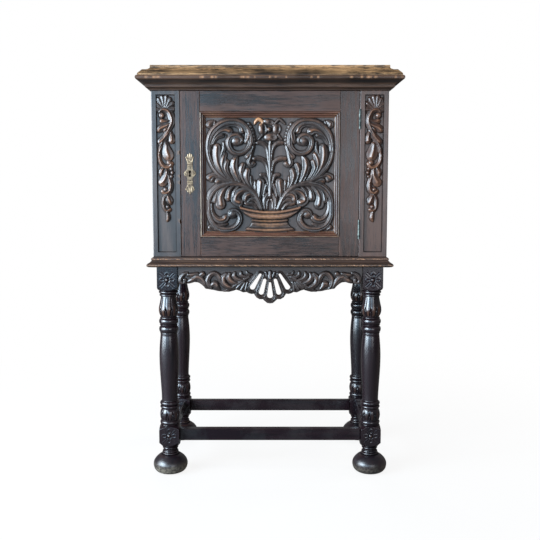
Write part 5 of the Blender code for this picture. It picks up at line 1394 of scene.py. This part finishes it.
def runMouldings(part, section, seat, baseZ, finishes, losses=None, specks=None, paintedShade=(0, 0)):
    section = roundedSection(section)
    worn, dark = sectionWearAndShade(section)
    # painted shadow: the part of the section between the two given heights is darkened like the shade under
    # an overhang
    dark = [max(sunk, 0.85 * (paintedShade[0] < up < paintedShade[1])) for (_, up), sunk in zip(section, dark)]
    closed = [(seat, section[0][1]), *section, (seat, section[-1][1])]
    # the second list is painted shade with dark wax in the sunk parts, 0.3 on the seats against the carcase
    wear = ([0.0, *worn, 0.0], [0.3, *dark, 0.3])
    farthest = max(out for out, _ in section)
    gap = moulding["mitreGap"]
    for hand, finish in zip(("front", "left", "right"), finishes):
        starts, ends = [], []
        for out, up in closed:
            x, y, z = bodyHalf + out * mm, frontY - out * mm, baseZ + up * mm
            if hand == "front":
                starts.append(Vector((gap - x, y, z)))
                ends.append(Vector((x - gap, y, z)))
            else:
                side = -1 if hand == "left" else 1
                starts.append(Vector((side * x, y + gap, z)))
                ends.append(Vector((side * x, backY, z)))
        bm, chip = lengthwise(starts, ends, wear)
        if specks:
            for vertex in bm.verts:
                along = vertex.co.x if hand == "front" else vertex.co.y
                vertex[chip] = specks(along, (vertex.co.z - baseZ) / mm)
        if losses and hand == "front":
            for vertex in bm.verts:
                near = max(0.0, 1 - (farthest - (frontY - vertex.co.y) / mm) / 1.1)
                lost = losses(vertex.co.x) * near
                vertex.co.y += lost
                vertex[chip] = max(vertex[chip], min(0.7, lost / 0.0012))
        name = f"{part}_{hand}"
        finishPiece(bm, part.split("_")[0] + hand.title(), finish, "cabinet", [name], 35)


def mouldBoard(node, section, finish, losses=None, specks=None):
    section = roundedSection(section)
    worn, dark = sectionWearAndShade(section)
    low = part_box(node)[0]
    bm = bmesh.new()
    crest, grimeAndShade, chip = (bm.verts.layers.float.new(name) for name in ("crest", "grimeAndShade", "chip"))
    step = moulding["step"]
    acrossCount, deepCount = int(2 * bodyHalf / step), int((backY - frontY) / step)
    ring = [(-1, 1 - count / deepCount) for count in range(deepCount)]
    ring += [(2 * count / acrossCount - 1, 0) for count in range(acrossCount)]
    ring += [(1, count / deepCount) for count in range(deepCount + 1)]

    def place(across, deep, out):
        front = frontY - out * mm
        return across * (bodyHalf + out * mm), front + (backY - front) * deep

    first = [bm.verts.new((*place(across, deep, section[0][0]), low[2])) for across, deep in ring]
    for vertex in first:
        vertex[crest] = worn[0]
    edges = [bm.edges.new(pair) for pair in zip(first, [*first[1:], first[0]])]
    before = section[0]
    for (out, up), rubbed, sunk in list(zip(section, worn, dark))[1:]:
        grown = bmesh.ops.extrude_edge_only(bm, edges=edges)["geom"]
        wasHalf, wasFront = bodyHalf + before[0] * mm, frontY - before[0] * mm
        for item in grown:
            if isinstance(item, bmesh.types.BMVert):
                across = item.co.x / wasHalf
                deep = (item.co.y - wasFront) / (backY - wasFront)
                item.co = (*place(across, deep, out), low[2] + up * mm)
                # sunk parts darkened: dark wax with painted shade
                item[crest], item[grimeAndShade] = rubbed, sunk
                if specks:
                    item[chip] = specks(item.co.x if deep < 1e-6 else item.co.y, up)
        edges = [item for item in grown if isinstance(item, bmesh.types.BMEdge) and item.is_boundary]
        before = (out, up)
    bmesh.ops.holes_fill(bm, edges=[edge for edge in bm.edges if edge.is_boundary], sides=0)
    bmesh.ops.recalc_face_normals(bm, faces=bm.faces)
    if losses:
        for vertex in bm.verts:
            out = (frontY - vertex.co.y) / mm
            near = math.exp(-(((out - moulding["lip"][0]) / moulding["lip"][1]) ** 2))
            lost = losses(vertex.co.x + 0.3 * vertex.co.z) * near
            vertex.co.y += lost
            vertex[chip] = min(0.6, lost / 0.0016)
    name = node.split("_")[0] + node.split("_")[1].title()
    finishPiece(bm, name, finish, "cabinet", [node], 35)


def mouldPanelEdges():
    section = roundedSection(moulding["panel"])
    outs = [(-depth, into) for into, depth in section]
    worn, dark = sectionWearAndShade(outs)
    closed = [*section, (0.3, 10.2)]
    # the second list darkens the sunk parts: dark wax with painted shade
    wear = ([*worn, 0.0], [*dark, 0.0])
    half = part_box("door_stile_hinge")[0][0]
    low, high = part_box("door_rail_bottom")[1][2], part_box("door_rail_top")[0][2]
    gap = moulding["mitreGap"]
    for hand in ("top", "bottom", "left", "right"):
        starts, ends = [], []
        for into, depth in closed:
            inset, y = into * mm, frontY + depth * mm
            if hand in ("top", "bottom"):
                z = high - inset if hand == "top" else low + inset
                starts.append(Vector((inset + gap - half, y, z)))
                ends.append(Vector((half - inset - gap, y, z)))
            else:
                x = inset - half if hand == "left" else half - inset
                starts.append(Vector((x, y, low + inset + gap)))
                ends.append(Vector((x, y, high - inset - gap)))
        bm, chip = lengthwise(starts, ends, wear)
        if hand != "top":
            for vertex in bm.verts:
                x, y, z = vertex.co
                insets = {"bottom": z - low, "left": x + half, "right": half - x}
                if y < frontY - 0.0012 and insets[hand] / mm < 2.4:
                    along = x if hand == "bottom" else z
                    broken = 0.7 + 0.3 * math.sin(along * 61) * math.sin(along * 173 + 1)
                    vertex[chip] = moulding["paleLine"][hand] * broken
        finish = panelOakAcross if hand in ("top", "bottom") else panelOakUpright
        name = f"panelMoulding{hand.title()}"
        finishPiece(bm, name, finish, "door", [f"panel_moulding_{hand}"], 35)


noseLosses = lossesAlong(5, -0.39, 0.40, 30, 0.0070, 0.0008)
lipLosses = lossesAlong(11, -0.34, 0.30, 60, 0.006, 0.0012)
# the cornice's cavetto takes a painted shadow band under its nose
runMouldings("cornice", moulding["cornice"], 0.3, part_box("cornice_front")[0][2],
             (corniceOakAcross, corniceOakDeep, corniceOakDeep), noseLosses, paintedShade=(20.5, 27.6))
mouldBoard("top_board", moulding["topBoard"], goldenOakAcross, lipLosses)
runMouldings("waist_moulding", moulding["torus"], -7.7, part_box("waist_moulding_front")[0][2],
             (torusOakAcross, torusOakDeep, torusOakDeep), lossesAlong(3, -0.36, 0.36, 40, 0.004, 0.0005),
             specksAlong(7, 6.4, 3.6, 0.0040))
mouldBoard("bottom_board", moulding["bottomBoard"], torusOakAcross, specks=specksAlong(13, 11.2, 2.6, 0.0037))
mouldPanelEdges()
print("mouldings run")


# straight boards and hardware keep their solids and take a finish by the run of their grain
boardFinish = {
    lockStileOak: ["door_stile_lock"],
    boardOakUpright: ["door_stile_hinge"],
    sideOakUpright: ["side_left", "side_right"],
    boardOakAcross: ["door_rail_top", "door_rail_bottom", "frieze_rail"],
    standOakAcross: ["stretcher_front", "stretcher_rear", "apron_rear"],
    standOakDeep: ["stretcher_left", "stretcher_right", "apron_left", "apron_right"],
    rawOakUpright: ["back_panel"],
    rawOakAcross: ["shelf"],
    rawOakDeep: ["shelf_cleat_left", "shelf_cleat_right"],
    greenBronze: [
        f"hinge_{place}_{part}" for place in ("lower", "upper") for part in ("door_leaf", "frame_leaf", "pin")
    ],
    darkIron: ["escutcheon_pin_lower", "escutcheon_pin_upper"],
    lockSteel: ["lock_case", "lock_bolt"],
}
for finish, names in boardFinish.items():
    for name in names:
        mesh = cadNodes[name].data
        mesh.materials.clear()
        mesh.materials.append(finish)
print("boards finished")


# stage, light and camera
stage = {
    "floor": 14.0,
    "lamps": {
        "window": {"at": (-3.00, -2.20, 1.50), "aim": (0.0, -0.1, 0.80), "size": (2.0, 2.4), "power": 270.0,
                   "colour": (0.70, 0.86, 1.0)},
        "left": {"at": (-2.80, -0.75, 1.20), "aim": (0.0, -0.2, 0.85), "size": (1.3, 2.2), "power": 62.0,
                 "colour": (0.78, 0.90, 1.0)},
        "frontLeft": {"at": (-1.95, -4.2, 1.20), "aim": (-0.2, 0.0, 0.98), "size": (2.9, 1.6), "power": 55.0,
                      "colour": (0.52, 0.77, 1.0)},
        "frontMiddle": {"at": (0.0, -4.4, 1.15), "aim": (0.0, 0.0, 0.98), "size": (1.0, 1.5), "power": 6.0,
                        "colour": (0.62, 0.82, 1.0)},
        "frontRight": {"at": (1.35, -4.3, 1.15), "aim": (0.2, 0.0, 0.98), "size": (1.7, 1.5), "power": 26.0,
                       "colour": (0.86, 0.90, 0.98)},
        "right": {"at": (3.3, 1.0, 1.6), "aim": (0.3, 0.1, 0.75), "size": (2.2, 2.2), "power": 85.0,
                  "colour": (1.0, 0.96, 0.92), "soft": True},
        "back": {"at": (-0.8, 3.6, 1.7), "aim": (0.0, 0.2, 0.75), "size": (2.6, 2.4), "power": 110.0,
                 "colour": (1.0, 0.97, 0.94), "soft": True},
        "above": {"at": (0.0, -1.2, 3.4), "aim": (0.0, 0.0, 1.2), "size": (2.2, 1.0), "power": 28.0,
                  "colour": (1.0, 0.95, 0.88), "soft": True},
    },
    "ambient": 0.10,
    "shine": 0.06,
    "glow": (0.5, 2.0, 0.87, 1.0),  # near and far from the middle, and the share of white there
    "floorSeen": (0.72, 0.72, 0.72),
    "floorBounce": (0.085, 0.083, 0.080),
    "cameraAt": (0.0, -2.58515, 0.9217),
    "cameraPitch": 0.1053,
    "lens": 50.765,
}


def addLamp(name):
    spec = stage["lamps"][name]
    lamp = bpy.data.lights.new(name, "AREA")
    lamp.shape = "RECTANGLE"
    lamp.size, lamp.size_y = spec["size"]
    lamp.energy = spec["power"]
    lamp.color = spec["colour"]
    holder = bpy.data.objects.new(name, lamp)
    holder.visible_glossy = not spec.get("soft", False)  # a soft fill leaves no spot in the polish
    holder.location = spec["at"]
    aim = Vector(spec["aim"]) - Vector(spec["at"])
    holder.rotation_euler = aim.to_track_quat("-Z", "Y").to_euler()
    scene.collection.objects.link(holder)


def setStage():
    bm = bmesh.new()
    bmesh.ops.create_grid(bm, x_segments=4, y_segments=4, size=stage["floor"])
    mesh = bpy.data.meshes.new("floor")
    bm.to_mesh(mesh)
    bm.free()
    material, tree, shader, place = newMaterial("paleFloor")
    shader.inputs["Roughness"].default_value = 0.9
    seen = tree.nodes.new("ShaderNodeLightPath")
    paint = mixColour(tree, seen.outputs["Is Camera Ray"], stage["floorBounce"], stage["floorSeen"])
    tree.links.new(paint, shader.inputs["Base Color"])
    glow = addNode(tree, "ShaderNodeEmission", {"Color": (1, 1, 1, 1), "Strength": 1.0})
    mixed = tree.nodes.new("ShaderNodeMixShader")
    away = addNode(tree, "ShaderNodeVectorMath", operation="LENGTH")
    tree.links.new(place, away.inputs[0])
    glowing = rangeNode(tree, away.outputs["Value"], *stage["glow"])
    tree.links.new(mathNode(tree, "MULTIPLY", seen.outputs["Is Camera Ray"], glowing), mixed.inputs[0])
    tree.links.new(shader.outputs[0], mixed.inputs[1])
    tree.links.new(glow.outputs[0], mixed.inputs[2])
    tree.links.new(mixed.outputs[0], tree.nodes["Material Output"].inputs["Surface"])
    mesh.materials.append(material)
    floor = bpy.data.objects.new("floor", mesh)
    scene.collection.objects.link(floor)

    world = bpy.data.worlds.new("studio")
    world.use_nodes = True
    scene.world = world
    tree = world.node_tree
    room = tree.nodes["Background"]
    room.inputs["Color"].default_value = (0.95, 0.97, 1.0, 1.0)
    room.inputs["Strength"].default_value = stage["ambient"]
    white = addNode(tree, "ShaderNodeBackground", {"Color": (1, 1, 1, 1), "Strength": 1.0})
    seen = tree.nodes.new("ShaderNodeLightPath")
    shown = mathNode(tree, "MAXIMUM", seen.outputs["Is Camera Ray"], seen.outputs["Is Transmission Ray"])
    glossy = mathNode(tree, "MULTIPLY", seen.outputs["Is Glossy Ray"], stage["shine"])
    shown = mathNode(tree, "MAXIMUM", shown, glossy)
    mixed = tree.nodes.new("ShaderNodeMixShader")
    tree.links.new(shown, mixed.inputs[0])
    tree.links.new(room.outputs[0], mixed.inputs[1])
    tree.links.new(white.outputs[0], mixed.inputs[2])
    tree.links.new(mixed.outputs[0], tree.nodes["World Output"].inputs["Surface"])

    for name in stage["lamps"]:
        addLamp(name)
    camera = bpy.data.cameras.new("camera")
    camera.lens = stage["lens"]
    camera.sensor_width = 36.0
    holder = bpy.data.objects.new("camera", camera)
    holder.location = stage["cameraAt"]
    holder.rotation_euler = (math.pi / 2 - stage["cameraPitch"], 0, 0)
    scene.collection.objects.link(holder)
    scene.camera = holder
    scene.view_settings.view_transform = "Standard"


setStage()
print("stage set")
